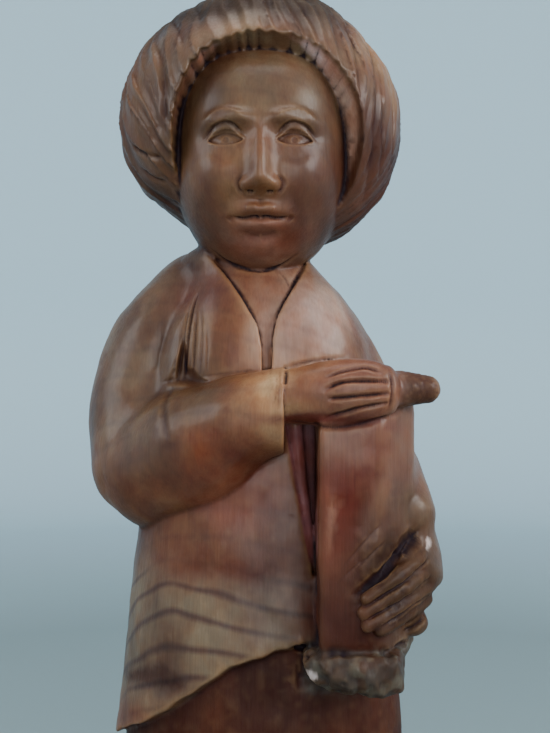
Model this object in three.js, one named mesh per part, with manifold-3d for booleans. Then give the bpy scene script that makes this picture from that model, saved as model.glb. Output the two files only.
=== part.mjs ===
// A carved wooden santon: a villager with a round bob of hair, in an open coat over a long robe, holding a
// tall wrapped bundle upright at the left side. It is cut from one block with its low base, so it is one solid.
// Millimetres, +Z up. The figure faces -Y, and the origin is under the middle of the base.
// The forms below are placed from the body's own axis, which stands a little behind the middle of the base.
import * as THREE from 'three';
import { mergeVertices } from 'three/addons/utils/BufferGeometryUtils.js';
import Module from 'manifold-3d';

const wasm = await Module();
wasm.setup();

// Driving dimensions
const BODY_BEHIND_BASE = 4.5;
const BASE = { width: 107, depth: 92, height: 10, corner: 34, edge: 1.6 };
const FACE = { x: 0.4, y: -6, z: 250, halfWidth: 24.6, depth: 29.5, up: 36, down: 30.5, breadth: 2.4 };
const HAIR = { x: -0.6, y: 0, z: 266.6, front: 39, back: 41, locks: 29, lockDepth: 1.1 };
const FACE_OPENING = { x: 0.8, y: -43, z: 250.5, halfWidth: 32, depth: 34, halfHeight: 34.2 };
const FRINGE = { teeth: 28, toothDepth: 0.5 };
const CROWN_TILT = 0.3; // how far behind the top of the head the locks meet, in radians
const FOLDS = { count: 9, depth: 1.1, top: 95 }; // of the robe, fading out towards the top
const WOOD = { color: 0x8a5a35, roughness: 0.42, metalness: 0 };

// The forms of the face, the same on both sides: x and z from its middle, reach in x and in z, and how far
// each stands out
const FACE_FORMS = [
  [5.5, 10.3, 4, 2.2, 1.5], // inner brow
  [12, 9.2, 5, 2.4, 1.5], // outer brow
  [9.1, 5, 6, 3.3, -3.8], // eye socket
  [9.4, 4.4, 4.4, 2.3, 2.9], // closed lids over the eyeball
  [0, 3, 2.3, 7, 2.6], // bridge of the nose
  [0, -4, 2.9, 4.5, 3.2],
  [0, -7.4, 3.2, 2.6, 2.6], // its tip
  [4, -8.2, 1.9, 1.9, 2], // its wings
  [0, -11.6, 5, 1.5, -1],
  [13.5, -5.5, 6.5, 7, 1.5], // cheek
  [0, -15.5, 9, 5.5, 1.7],
  [0, -14.6, 6, 1.5, 1.2], // upper lip
  [0, -16.5, 6.6, 0.9, -1.6],
  [0, -18.4, 5, 1.6, 1.5], // lower lip
  [0, -21.4, 5, 1.4, -0.8],
  [0, -25.6, 6, 4, 2], // chin
];

const AXIS_X = new THREE.Vector3(1, 0, 0);
const AXIS_Z = new THREE.Vector3(0, 0, 1);
const FORWARD = new THREE.Vector3(0, -1, 0);

// Every table's first column is its key, and the others are values along it.
// Half width, front, back and middle of the coat against height
const COAT = [
  [80, 43.6, 34, 34, -0.3],
  [95, 41.8, 33, 33, -0.3],
  [110, 40.2, 32, 32, -0.3],
  [125, 38.8, 31, 31, -0.2],
  [145, 36.6, 29.5, 30.5, -0.2],
  [170, 35, 28, 31, 0],
  [187, 34.2, 27, 31.5, 0],
  [199, 32, 26, 30.5, 0],
  [207, 28.4, 24.5, 28.5, 0],
  [214, 23.8, 22.5, 25.5, -0.2],
  [220, 19.6, 19.5, 22, -1.4],
  [225, 18, 16, 18, -4.4],
  [229, 14.6, 13, 15, -3.6],
];
const COAT_TOP = 229;
const SHIRT = { bottom: 188, top: 226, inset: 2 };
// The same for the robe, from the base to under the coat
const ROBE = [
  [6, 47.5, 35.5, 35.5, 0],
  [30, 46, 34.5, 34.5, 0],
  [60, 43.4, 31.5, 33, 0.4],
  [85, 41, 29, 31.5, 0.8],
  [100, 39.4, 28, 30, 0.8],
  [125, 35, 26.5, 28, 0],
];
const ROBE_TOP = 122; // hidden under the coat
// The bundle's section: x, y and corner radius, and how its section shrinks about its middle against height
const BUNDLE_SECTION = [
  [15.2, -42.2, 0.8],
  [32, -42, 1.6],
  [42.1, -31, 2.4],
  [42.1, -15, 3],
  [34, -3, 2],
  [15.2, -3, 2],
];
const BUNDLE_MIDDLE = { x: 24, y: -24 };
const BUNDLE_SCALE = [
  [112, 0.975],
  [128, 0.985],
  [150, 1],
  [176, 1],
  [184, 0.97],
  [187, 0.88],
];
// Half width, half depth and middle x, y of the bunched edge under the bundle
const BUNCH = [
  [106.5, 10, 13.4, 26.4, -27.5],
  [108.5, 12.8, 15.8, 26, -27.5],
  [112, 14, 17, 25.4, -27.5],
  [115.6, 13.8, 16.8, 25.4, -27.5],
  [117.4, 12, 15.4, 25.8, -27.5],
];
const BUNCH_TILT = -0.12;
const BUNCH_LUMP = 0.4;

// The hair's reach from its middle, seen from the front, against the angle from the figure's left in degrees
const HAIR_OUTLINE = [
  [-90, 38],
  [-62, 41.6],
  [-35, 42.8],
  [0, 42],
  [35, 41],
  [90, 40],
  [128, 39.2],
  [165, 41.6],
  [190, 41.8],
  [225, 37.6],
  [270, 38],
];
// The height of the coat's hem, against the angle round the body from the figure's left in degrees
const HEM = [
  [-180, 88.5],
  [-158, 91.5],
  [-135, 98],
  [-120, 105],
  [-103, 111.6],
  [-72, 116.5],
  [-45, 110],
  [0, 101],
  [90, 87.5],
  [180, 88.5],
];
const HAIR_FLOOR = 229; // the ends of the hair are cut off level with the top of the neck

// Limbs: x, y, z, half thickness and half width at each station
const NECK = [
  [-0.4, 2, 210, 13, 13.2],
  [-0.2, 1, 226, 12.6, 13.2],
  [0, -1, 242, 12.6, 13.4],
];
const RIGHT_UPPER_ARM = [
  [-19, 3, 212, 14, 12.5],
  [-30.5, 3, 200, 17, 17],
  [-34.5, 1, 182, 17.5, 17],
  [-33.2, -5, 165, 17.5, 17],
];
const RIGHT_FOREARM = [
  [-30, -9, 164, 17, 17],
  [-17, -21, 170.2, 15, 16.2],
  [-5, -28.4, 177, 12.8, 13.8],
  [8, -33, 182.2, 10.6, 11.2],
];
const CUFF_END = 6.2;
const RIGHT_HAND = [
  [1, -33, 183.6, 6, 6.6],
  [9, -35.6, 185.2, 6.6, 7.6],
  [21, -38.4, 186.2, 6.6, 9.2],
  [29.5, -40, 186.8, 5.8, 8.3],
  [33.4, -40.4, 186.9, 5, 6.8],
];
const BUNDLE_NECK = [
  [27, -37, 186.9, 5, 5],
  [37, -36.4, 187.2, 4.9, 4.9],
  [43.4, -36, 187.8, 3.6, 3.6],
];
const LEFT_UPPER_ARM = [
  [17, 4, 210, 13.5, 11],
  [24, 5, 197, 15.5, 13],
  [30, 6, 180, 15.5, 14],
  [31, 4, 164, 15, 13.5],
];
const LEFT_FOREARM = [
  [31, 5, 168, 13, 14],
  [35.5, -6, 164, 11, 13.5],
  [38.4, -16, 158, 9.6, 12.5],
  [40.2, -24, 151, 8.6, 10.6],
];
const LEFT_HAND = [
  [38.5, -14, 151.5, 9, 10],
  [41.6, -24, 145.6, 7.4, 11.4],
  [41.2, -32, 140, 6.4, 11.4],
  [37, -39, 135.4, 5, 10],
  [32.2, -42.6, 132, 4, 8.4],
  [28.8, -43.8, 129.8, 3, 6.6],
];
const HAND_HEEL = [
  [41, -24, 124.4, 4, 4.6],
  [41.2, -31, 123.6, 3.6, 4.4],
];
const HAND_THUMB = [
  [37.4, -24, 117.8, 3.2, 2.8],
  [37.8, -32, 117.4, 3, 2.6],
];
const SLOT_RIDGE = [
  [10.4, -26, 185, 2.2, 1.9],
  [12, -27, 165, 2, 1.6],
  [14.8, -28.4, 137, 1.2, 0.8],
];
const SHOE = [
  [0, -20, 15, 9, 10.5],
  [0, -33, 14, 7.4, 9.6],
  [0, -39.5, 12.6, 5, 8],
];
const SHOE_SPREAD = 17;

// Cutting tools: the pocket under the right arm, and the notch where the coat closes over the robe
const ARM_POCKET = [
  [-17.6, -27, 213, 0.8, 0.7],
  [-18.6, -24, 200, 4, 2],
  [-20.6, -21, 186, 6, 4.6],
];
const HEM_NOTCH = [
  [11.4, -36, 115.8, 2.2, 2],
  [11.6, -26, 115.8, 1.8, 1.8],
];
const SLOT_OUTLINE = [
  [6.4, 184],
  [15.4, 184],
  [15.9, 131],
];
const SLOT_BACK = -22.5;
const COLLAR_OUTLINE = [
  [-15.5, 227],
  [-10, 218.8],
  [-5.3, 212.2],
  [-1.1, 204.6],
  [0.3, 198],
  [0.3, 190],
  [2.8, 190],
  [2.9, 198],
  [4.4, 206.6],
  [8, 213.8],
  [12.4, 221],
  [14, 226],
];

// Grooves seen from the front: points x, z, then width and depth
const HAND_GROOVE = { width: 1.1, depth: 1.3 };
const GROOVES = [
  [[16.9, 190.2], [22.1, 192], [27.3, 192.8], [31.4, 191.6]],
  [[16.9, 187.1], [20.8, 188.9], [26, 189.4], [34, 189.2]],
  [[17.7, 184.8], [23.4, 185.3], [34.4, 186.3]],
  [[17.7, 179.8], [22.1, 181.1], [26, 182.4], [34, 183.8]],
  [[40.8, 148.2], [37.1, 143.6], [32.9, 139.6], [28.8, 135.2], [26.6, 132.8]],
  [[45, 142.6], [40, 140.9], [35.4, 137.6], [29.6, 133.9]],
  [[44.4, 136.9], [38, 134.5], [32.7, 131.5], [28, 129.4]],
  [[42.2, 133], [36.6, 130.6], [32.2, 128.1]],
];

// Values of a table at a key, on a smooth curve through its rows
function at(table, key) {
  const last = table.length - 1;
  const k = Math.min(Math.max(key, table[0][0]), table[last][0]);
  let i = 0;
  while (i < last - 1 && k > table[i + 1][0]) i += 1;
  const span = table[i + 1][0] - table[i][0];
  const t = (k - table[i][0]) / span;
  const slope = (row, column) => {
    const before = table[Math.max(row - 1, 0)];
    const after = table[Math.min(row + 1, last)];
    return (after[column] - before[column]) / (after[0] - before[0]);
  };
  return table[i].slice(1).map((from, n) => {
    const to = table[i + 1][n + 1];
    const leave = slope(i, n + 1) * span;
    const arrive = slope(i + 1, n + 1) * span;
    const cubic = 2 * (from - to) + leave + arrive;
    const square = 3 * (to - from) - 2 * leave - arrive;
    return from + t * (leave + t * (square + t * cubic));
  });
}

// A geometry with each of its vertices moved
function moved(geometry, move) {
  const position = geometry.getAttribute('position');
  const point = new THREE.Vector3();
  for (let i = 0; i < position.count; i += 1) {
    point.fromBufferAttribute(position, i);
    const to = move(point);
    position.setXYZ(i, to.x, to.y, to.z);
  }
  return geometry;
}

// A closed geometry as a solid
function solid(geometry) {
  const bare = geometry.clone();
  bare.deleteAttribute('normal');
  bare.deleteAttribute('uv');
  const merged = mergeVertices(bare, 1e-4);
  const triVerts = new Uint32Array(merged.index.array);
  const made = new wasm.Manifold(
    new wasm.Mesh({ numProp: 3, vertProperties: merged.getAttribute('position').array, triVerts }),
  );
  return made;
}

// A solid as a geometry
function geometryOf(manifold) {
  const mesh = manifold.getMesh();
  const geometry = new THREE.BufferGeometry();
  geometry.setAttribute('position', new THREE.BufferAttribute(new Float32Array(mesh.vertProperties), 3));
  geometry.setIndex(new THREE.BufferAttribute(new Uint32Array(mesh.triVerts), 1));
  return geometry;
}

// A capsule bent through stations of x, y, z, half thickness and half width. thick is the way its thickness is
// measured. bulge says how round its two ends are, from 0, flat, to 1.
function limb(stations, { around = 14, rings = 8, cap = 3, thick = FORWARD, bulge = [1, 1] } = {}) {
  const table = stations.map((station, i) => [i / (stations.length - 1), ...station]);
  const centre = (t) => new THREE.Vector3(...at(table, t).slice(0, 3));
  const step = 0.01;
  return moved(new THREE.CapsuleGeometry(1, 1, cap, around, rings), (p) => {
    const t = THREE.MathUtils.clamp(p.y + 0.5, 0, 1);
    const beyond = p.y + 0.5 - t;
    const [x, y, z, halfThick, halfWide] = at(table, t);
    const ahead = centre(Math.min(t + step, 1)).sub(centre(Math.max(t - step, 0))).normalize();
    const out = thick.clone().addScaledVector(ahead, -thick.dot(ahead)).normalize();
    const across = new THREE.Vector3().crossVectors(ahead, out);
    const end = beyond * Math.min(halfThick, halfWide) * (beyond < 0 ? bulge[0] : bulge[1]);
    return new THREE.Vector3(x, y, z)
      .addScaledVector(ahead, end)
      .addScaledVector(out, p.x * halfThick)
      .addScaledVector(across, -p.z * halfWide);
  });
}

// The distance from the axis to an oval with flattened sides, at an angle
function ovalReach(angle, halfWidth, halfDepth, squareness) {
  const c = Math.abs(Math.cos(angle) / halfWidth) ** squareness;
  const s = Math.abs(Math.sin(angle) / halfDepth) ** squareness;
  return (c + s) ** (-1 / squareness);
}

// A standing body: heightAt gives its height at an angle, from 0, its bottom, to 1, its top, and sideAt gives
// its side there
function standing(around, rows, heightAt, sideAt) {
  return moved(new THREE.CylinderGeometry(1, 1, 1, around, rows), (p) => {
    const from = Math.hypot(p.x, p.z);
    const angle = Math.atan2(-p.z, p.x);
    const z = heightAt(angle, p.y + 0.5);
    const side = sideAt(angle, z);
    return new THREE.Vector3(THREE.MathUtils.lerp(side.middleX, side.x, from), side.y * from, z);
  });
}

// The side of a garment at an angle, from its table
function garmentSide(table, angle, z, inset = 0) {
  const [halfWidth, front, back, middleX] = at(table, z);
  const depth = Math.sin(angle) < 0 ? front : back;
  const reach = ovalReach(angle, halfWidth, depth, 2.3) - inset;
  return { x: middleX + reach * Math.cos(angle), y: reach * Math.sin(angle), middleX };
}

// The coat's rings are closer together at the shoulders than at the hem
function coatBody() {
  const hem = (angle) => at(HEM, THREE.MathUtils.radToDeg(angle))[0];
  return standing(
    36,
    12,
    (angle, t) => THREE.MathUtils.lerp(hem(angle), COAT_TOP, 1 - (1 - t) ** 1.3),
    (angle, z) => garmentSide(COAT, angle, z),
  );
}

function shirtBody() {
  return standing(
    28,
    4,
    (angle, t) => THREE.MathUtils.lerp(SHIRT.bottom, SHIRT.top, t),
    (angle, z) => garmentSide(COAT, angle, z, SHIRT.inset),
  );
}

function robeBody() {
  const bottom = BASE.height - 2;
  return standing(
    5 * FOLDS.count,
    4,
    (angle, t) => THREE.MathUtils.lerp(bottom, ROBE_TOP, t),
    (angle, z) => {
      const share = THREE.MathUtils.clamp((FOLDS.top - z) / (FOLDS.top - bottom), 0, 1);
      return garmentSide(ROBE, angle, z, FOLDS.depth * share * (1 + Math.cos(FOLDS.count * angle)));
    },
  );
}

// A straight-sided shape with its corners rounded, from x, y and corner radius
function roundedShape(corners) {
  const shape = new THREE.Shape();
  corners.forEach(([x, y, radius], i) => {
    const corner = new THREE.Vector2(x, y);
    const [before, after] = [i + corners.length - 1, i + 1].map((n) => {
      const [nextX, nextY] = corners[n % corners.length];
      return new THREE.Vector2(nextX, nextY).sub(corner).setLength(radius).add(corner);
    });
    if (i === 0) shape.moveTo(before.x, before.y);
    else shape.lineTo(before.x, before.y);
    shape.quadraticCurveTo(corner.x, corner.y, after.x, after.y);
  });
  return shape;
}

function bundleBody() {
  const bottom = BUNDLE_SCALE[0][0];
  const top = BUNDLE_SCALE[BUNDLE_SCALE.length - 1][0];
  const settings = { depth: top - bottom, steps: 6, bevelEnabled: false, curveSegments: 2 };
  return moved(new THREE.ExtrudeGeometry(roundedShape(BUNDLE_SECTION), settings), (p) => {
    const z = bottom + p.z;
    const [scale] = at(BUNDLE_SCALE, z);
    const { x, y } = BUNDLE_MIDDLE;
    return new THREE.Vector3(x + scale * (p.x - x), y + scale * (p.y - y), z);
  });
}

// The bunched edge under the bundle: a lumpy roll, lower at its outer end
function bunchBody() {
  const bottom = BUNCH[0][0];
  const top = BUNCH[BUNCH.length - 1][0];
  return moved(new THREE.CylinderGeometry(1, 1, 1, 32, 4), (p) => {
    const from = Math.hypot(p.x, p.z);
    const angle = Math.atan2(-p.z, p.x);
    const t = p.y + 0.5;
    const z = THREE.MathUtils.lerp(bottom, top, t);
    const [halfWidth, halfDepth, x, y] = at(BUNCH, z);
    const lumps = BUNCH_LUMP * (Math.sin(7 * angle + 1) + Math.sin(12 * angle + z / 2));
    const reach = from * (ovalReach(angle, halfWidth, halfDepth, 3.8) + lumps);
    const drop = BUNCH_TILT * reach * Math.cos(angle) * (1 - t);
    return new THREE.Vector3(x + reach * Math.cos(angle), y + reach * Math.sin(angle), z + drop);
  });
}

// How far the face stands out of its plain oval, at x and z from its middle
function faceRelief(x, z) {
  return FACE_FORMS.reduce((sum, [atX, atZ, reachX, reachZ, rise]) => {
    const away = ((Math.abs(x) - atX) / reachX) ** 2 + ((z - atZ) / reachZ) ** 2;
    return sum + rise * Math.exp(-away);
  }, 0);
}

// The head under the hair: an oval, its columns and rows drawn together where the face is
function headBody() {
  return moved(new THREE.SphereGeometry(1, 42, 30), (p) => {
    const turn = Math.atan2(p.x, p.z);
    const angle = turn - 0.5 * Math.sin(turn);
    const climb = Math.asin(THREE.MathUtils.clamp(p.y, -1, 1));
    const rise = climb - 0.2 * Math.sin(2 * climb);
    const full = rise > 0 ? 2 / 2.8 : 1;
    const level = Math.abs(Math.cos(rise)) ** full;
    const reach = level * ovalReach(angle, FACE.depth, FACE.halfWidth, FACE.breadth);
    const x = Math.sin(angle) * reach;
    const y = -Math.cos(angle) * reach;
    const z = Math.sign(rise) * Math.abs(Math.sin(rise)) ** full * (rise > 0 ? FACE.up : FACE.down);
    const relief = y < 0 ? faceRelief(x, z) * Math.min(1, -y / 12) : 0;
    return new THREE.Vector3(FACE.x + x, FACE.y + y - relief, FACE.z + z);
  });
}

// The hair: a ball that follows its outline, scored into locks that run down from the crown
function hairBody() {
  const tilt = new THREE.Matrix4().makeRotationX(-CROWN_TILT);
  const upright = new THREE.Matrix4().makeRotationX(Math.PI / 2);
  const grid = new THREE.SphereGeometry(1, 2 * HAIR.locks, 15);
  return moved(grid, (p) => {
    const column = Math.round((Math.atan2(p.z, p.x) / Math.PI) * HAIR.locks);
    const level = Math.hypot(p.x, p.z);
    const groove = column % 2 === 0 ? HAIR.lockDepth * Math.min(1, level * 1.4) : 0;
    const way = p.clone().applyMatrix4(upright).applyMatrix4(tilt);
    let angle = THREE.MathUtils.radToDeg(Math.atan2(way.z, way.x));
    if (angle < -90) angle += 360;
    const [outline] = at(HAIR_OUTLINE, angle);
    const depth = way.y < 0 ? HAIR.front : HAIR.back;
    const reach = 1 / Math.sqrt((1 - way.y * way.y) / outline ** 2 + way.y ** 2 / depth ** 2) - groove;
    return new THREE.Vector3(HAIR.x, HAIR.y, HAIR.z).addScaledVector(way, reach);
  });
}

// A prism of an outline seen from the front, from y = front to y = back
function frontPrism(outline, front, back) {
  const shape = new THREE.Shape(outline.map(([x, z]) => new THREE.Vector2(x, z)));
  const geometry = new THREE.ExtrudeGeometry(shape, { depth: back - front, bevelEnabled: false });
  geometry.rotateX(Math.PI / 2);
  geometry.translate(0, back, 0);
  return geometry;
}

// What is cut out of the hair for the face: its rim rolls in and is nicked into the short teeth of the fringe
function faceOpening() {
  const { x, y, z, halfWidth, depth, halfHeight } = FACE_OPENING;
  return moved(new THREE.SphereGeometry(1, 2 * FRINGE.teeth, 10), (p) => {
    const angle = Math.atan2(p.z, p.x);
    const level = Math.hypot(p.x, p.z);
    const side = Math.round((angle / Math.PI) * FRINGE.teeth) % 2 === 0 ? 1 : -1;
    const nick = side * FRINGE.toothDepth;
    const reach = level * (ovalReach(angle, halfWidth, halfHeight, 2.4) + nick);
    return new THREE.Vector3(x + reach * Math.cos(angle), y + p.y * depth, z + reach * Math.sin(angle));
  });
}

// A V-shaped groove along a path seen from the front, let into the surface that the path lies on
function groove(target, path, { width, depth }) {
  const ray = new THREE.Raycaster();
  const table = path.map(([x, z], i) => [i / (path.length - 1), x, z]);
  const steps = 2 * (path.length - 1);
  const surface = (t) => {
    const [x, z] = at(table, t);
    ray.set(new THREE.Vector3(x, -200, z), new THREE.Vector3(0, 1, 0));
    const [hit] = ray.intersectObject(target);
    return new THREE.Vector3(x, hit ? hit.point.y : -20, z);
  };
  return moved(new THREE.CylinderGeometry(1, 1, 1, 3, steps), (p) => {
    const t = p.y + 0.5;
    const taper = 0.25 + 0.75 * Math.sin(Math.PI * t) ** 0.5;
    const here = surface(t);
    const ahead = surface(Math.min(t + 0.05, 1)).sub(surface(Math.max(t - 0.05, 0)));
    const across = new THREE.Vector3(-ahead.z, 0, ahead.x).normalize();
    const sideways = p.x / Math.sin((2 * Math.PI) / 3);
    const out = 1 - (p.z + 0.5) / 1.5;
    const bottom = taper * depth;
    return here
      .addScaledVector(across, sideways * taper * width)
      .addScaledVector(FORWARD, out * (1 + bottom) - bottom);
  });
}

function baseBody() {
  const w = BASE.width / 2 - BASE.edge;
  const d = BASE.depth / 2 - BASE.edge;
  const r = BASE.corner;
  const shape = new THREE.Shape();
  shape.moveTo(w - r, -d);
  shape.absarc(w - r, r - d, r, -Math.PI / 2, 0);
  shape.absarc(w - r, d - r, r, 0, Math.PI / 2);
  shape.absarc(r - w, d - r, r, Math.PI / 2, Math.PI);
  shape.absarc(r - w, r - d, r, Math.PI, 1.5 * Math.PI);
  const geometry = new THREE.ExtrudeGeometry(shape, {
    depth: BASE.height - 2 * BASE.edge,
    bevelThickness: BASE.edge,
    bevelSize: BASE.edge,
    bevelSegments: 1,
    curveSegments: 7,
  });
  geometry.translate(0, -BODY_BEHIND_BASE, BASE.edge);
  return geometry;
}

function shoe(side) {
  const stations = SHOE.map(([x, ...rest]) => [x + side * SHOE_SPREAD, ...rest]);
  return limb(stations, { around: 12, rings: 3, cap: 2, thick: AXIS_Z });
}

function carve() {
  const coat = solid(coatBody())
    .subtract(solid(frontPrism(COLLAR_OUTLINE, -60, 0)))
    .subtract(solid(frontPrism(SLOT_OUTLINE, -60, SLOT_BACK)));
  const body = coat
    .add(solid(shirtBody()))
    .add(solid(robeBody()))
    .add(solid(limb(SLOT_RIDGE, { around: 8, rings: 4, cap: 2 })))
    .add(solid(limb(NECK, { around: 20, rings: 2, cap: 1 })))
    .add(solid(limb(RIGHT_UPPER_ARM, { around: 18, rings: 6 })))
    .add(solid(limb(LEFT_UPPER_ARM, { around: 16, rings: 6 })))
    .subtract(solid(limb(ARM_POCKET, { around: 8, rings: 4, cap: 2 })))
    .subtract(solid(limb(HEM_NOTCH, { around: 8, rings: 1, cap: 2, thick: AXIS_Z })));
  const hair = solid(hairBody())
    .trimByPlane([0, 0, 1], HAIR_FLOOR)
    .subtract(solid(faceOpening()));
  const held = solid(bundleBody())
    .add(solid(bunchBody()))
    .add(solid(limb(BUNDLE_NECK, { around: 12, rings: 4 })));
  const hands = solid(limb(RIGHT_HAND, { around: 16, rings: 7, bulge: [1, 0.7] }))
    .add(solid(limb(LEFT_HAND, { around: 16, rings: 8, thick: FORWARD.clone().add(AXIS_X) })))
    .add(solid(limb(HAND_HEEL, { around: 10, rings: 1, thick: AXIS_Z })))
    .add(solid(limb(HAND_THUMB, { around: 10, rings: 1, thick: AXIS_Z })));
  const whole = body
    .add(hair)
    .add(solid(headBody()))
    .add(held)
    .add(solid(limb(RIGHT_FOREARM, { around: 18, rings: 6 })).trimByPlane([-1, 0, 0], -CUFF_END))
    .add(solid(limb(LEFT_FOREARM, { around: 16, rings: 5, thick: AXIS_X })))
    .add(hands)
    .add(solid(shoe(-1)))
    .add(solid(shoe(1)))
    .add(solid(baseBody()));
  const target = new THREE.Mesh(geometryOf(whole), new THREE.MeshBasicMaterial({ side: THREE.DoubleSide }));
  return GROOVES.reduce((left, path) => left.subtract(solid(groove(target, path, HAND_GROOVE))), whole);
}

const figure = new THREE.Mesh(geometryOf(carve()), new THREE.MeshStandardMaterial(WOOD));
figure.name = 'carved_figure';
figure.position.y = BODY_BEHIND_BASE;

const santon = new THREE.Group();
santon.add(figure);

export default santon;
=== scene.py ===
import itertools
import math

import bmesh
import bpy
import numpy as np
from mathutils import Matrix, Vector
from mathutils.bvhtree import BVHTree
from mathutils.kdtree import KDTree


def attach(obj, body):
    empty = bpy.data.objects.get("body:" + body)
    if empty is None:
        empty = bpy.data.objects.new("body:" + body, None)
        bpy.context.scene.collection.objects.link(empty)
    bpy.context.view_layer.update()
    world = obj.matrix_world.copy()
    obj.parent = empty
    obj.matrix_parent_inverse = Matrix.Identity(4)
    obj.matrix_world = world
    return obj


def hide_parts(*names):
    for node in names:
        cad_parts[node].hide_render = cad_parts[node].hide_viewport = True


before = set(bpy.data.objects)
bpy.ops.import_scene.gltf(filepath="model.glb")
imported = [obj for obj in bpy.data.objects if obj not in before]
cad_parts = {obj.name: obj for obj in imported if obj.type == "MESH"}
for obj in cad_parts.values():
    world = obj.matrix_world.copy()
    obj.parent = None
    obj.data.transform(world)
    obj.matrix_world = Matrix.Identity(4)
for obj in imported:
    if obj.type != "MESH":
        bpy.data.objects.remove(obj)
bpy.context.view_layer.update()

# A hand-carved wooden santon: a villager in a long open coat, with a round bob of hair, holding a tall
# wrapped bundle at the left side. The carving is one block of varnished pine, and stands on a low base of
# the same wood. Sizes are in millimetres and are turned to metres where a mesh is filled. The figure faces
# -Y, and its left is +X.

MM = 0.001

BODY_BEHIND_BASE = 4.5  # the body's axis stands this far behind the middle of the base
BASE = {"width": 107, "depth": 92, "height": 10, "corner": 34, "edge": 1.6}
# The head: its middle, half its width, how far it reaches forwards, up and down, and how square it is. Seen
# from the front, the face is an oval round its own middle height
FACE = {"x": -0.1, "y": -6, "z": 250, "half_width": 25.3, "depth": 29.5, "up": 36, "down": 30.5}
FACE_SQUARENESS = 2.4
FACE_OVAL = {"z": 252, "half_height": 33.5}
HAIR = {"x": -0.6, "y": 0, "z": 266.6, "front": 38.2, "back": 41, "floor": 229}
HAIR_MIDDLE = (HAIR["x"], HAIR["y"], HAIR["z"])
HAIR_BALL = (41, HAIR["front"], 40)  # the reach of a ball that is nearly the hair, in x, y and z
CROWN_TILT = 0.3  # how far the crown of the hair leans back, in radians
FLUTES = {"count": 54, "depth": 1.35, "sweep": 0.5, "ridge": 0.35}
# The opening cut into the hair round the face, which goes deeper on the figure's right
OPENING = {
    "x": 0.8,
    "y": -43,
    "z": 250.5,
    "left": 32,
    "right": 26,
    "half_height": 34.2,
    "depth": 34,
    "deeper": 24,
    "squareness": 2.4,
}
FRINGE = {"count": 56, "depth": 1.9}
FOLDS = {"count": 9, "depth": 1.1, "top": 95}
OUTSIDE = 60  # further than any part of the body is from the middle, for tools that cut right through
X, Y, Z = 0, 1, 2
FORWARD = np.array([0.0, -1.0, 0.0])
SIDEWAYS = np.array([1.0, 0.0, 0.0])
UPWARD = np.array([0.0, 0.0, 1.0])

# Detail of the mesh
FACET = 0.5  # the size of one facet before the flat places are thinned
MOST_TRIANGLES = 190000
CAP_SHARE = 0.3  # the share of a limb's rings that its two round ends take

# Height, half width, front, back and middle of the coat and of the robe
COAT = [
    (80, 43.6, 34, 34, -0.3),
    (95, 41.8, 33, 33, -0.3),
    (110, 40.2, 32, 32, -0.3),
    (125, 38.8, 31, 31, -0.2),
    (145, 36.6, 29.5, 30.5, -0.2),
    (170, 35, 28, 31, 0),
    (187, 34.2, 27, 31.5, 0),
    (199, 32, 26, 30.5, 0),
    (207, 28.4, 24.5, 28.5, 0),
    (214, 23.8, 22.5, 25.5, -0.2),
    (220, 19.6, 19.5, 22, -1.4),
    (225, 18.8, 16, 18, -5),
    (229, 14.6, 13, 15, -4.2),
]
COAT_TOP = 229
GARMENT_SQUARENESS = 2.3
SHIRT = {"bottom": 188, "top": 226, "inset": 2}
ROBE = [
    (6, 47.5, 35.5, 35.5, 0),
    (30, 46, 34.5, 34.5, 0),
    (60, 43.4, 31.5, 33, 0.4),
    (85, 41, 29, 31.5, 0.8),
    (100, 39.4, 28, 30, 0.8),
    (125, 35, 26.5, 28, 0),
]
ROBE_TOP = 122
# The height of the coat's hem, against the angle round the body from the figure's left in degrees
HEM = [
    (-180, 84),
    (-158, 89.6),
    (-135, 98),
    (-120, 105),
    (-103, 111.6),
    (-72, 116.5),
    (-45, 110),
    (0, 101),
    (90, 87.5),
    (180, 84),
]
# The hair's reach from its middle, seen from the front, against the angle from the figure's left in degrees
HAIR_OUTLINE = [
    (-90, 38),
    (-62, 41.6),
    (-35, 42.8),
    (0, 42),
    (35, 39),
    (60, 38.8),
    (88, 39.8),
    (112, 38),
    (128, 38.8),
    (165, 41.6),
    (190, 42),
    (210, 40.8),
    (225, 38.6),
    (270, 38),
]
# The flat faces of the bundle: the way each one looks, in degrees from the figure's left, and how far it is
# from the bundle's middle
BUNDLE_MIDDLE = (28, -22)
BUNDLE_FACES = [(-90, 20.1), (-42.5, 16.5), (0, 14.1), (34, 15.6), (90, 19), (180, 12.8)]
BUNDLE_SHARPNESS = 26  # the higher, the crisper the edges between the faces
# Height, and how wide the bundle is there
BUNDLE_SCALE = [
    (112, 0.8),
    (117, 0.93),
    (122, 0.98),
    (128, 0.985),
    (150, 1),
    (176, 1),
    (184, 0.97),
    (187, 0.88),
]
# Height, half width, half depth and middle of the bunched edge
BUNCH = [
    (106.5, 9.6, 13.4, 25.8, -27.5),
    (108.5, 12.4, 15.8, 25.6, -27.5),
    (112, 13.4, 17, 25.2, -27.5),
    (115.6, 13.2, 16.8, 25.2, -27.5),
    (117.4, 11.6, 15.4, 25.4, -27.5),
]
BUNCH_TILT = -0.12
BUNCH_SQUARENESS = 3.8

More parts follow.
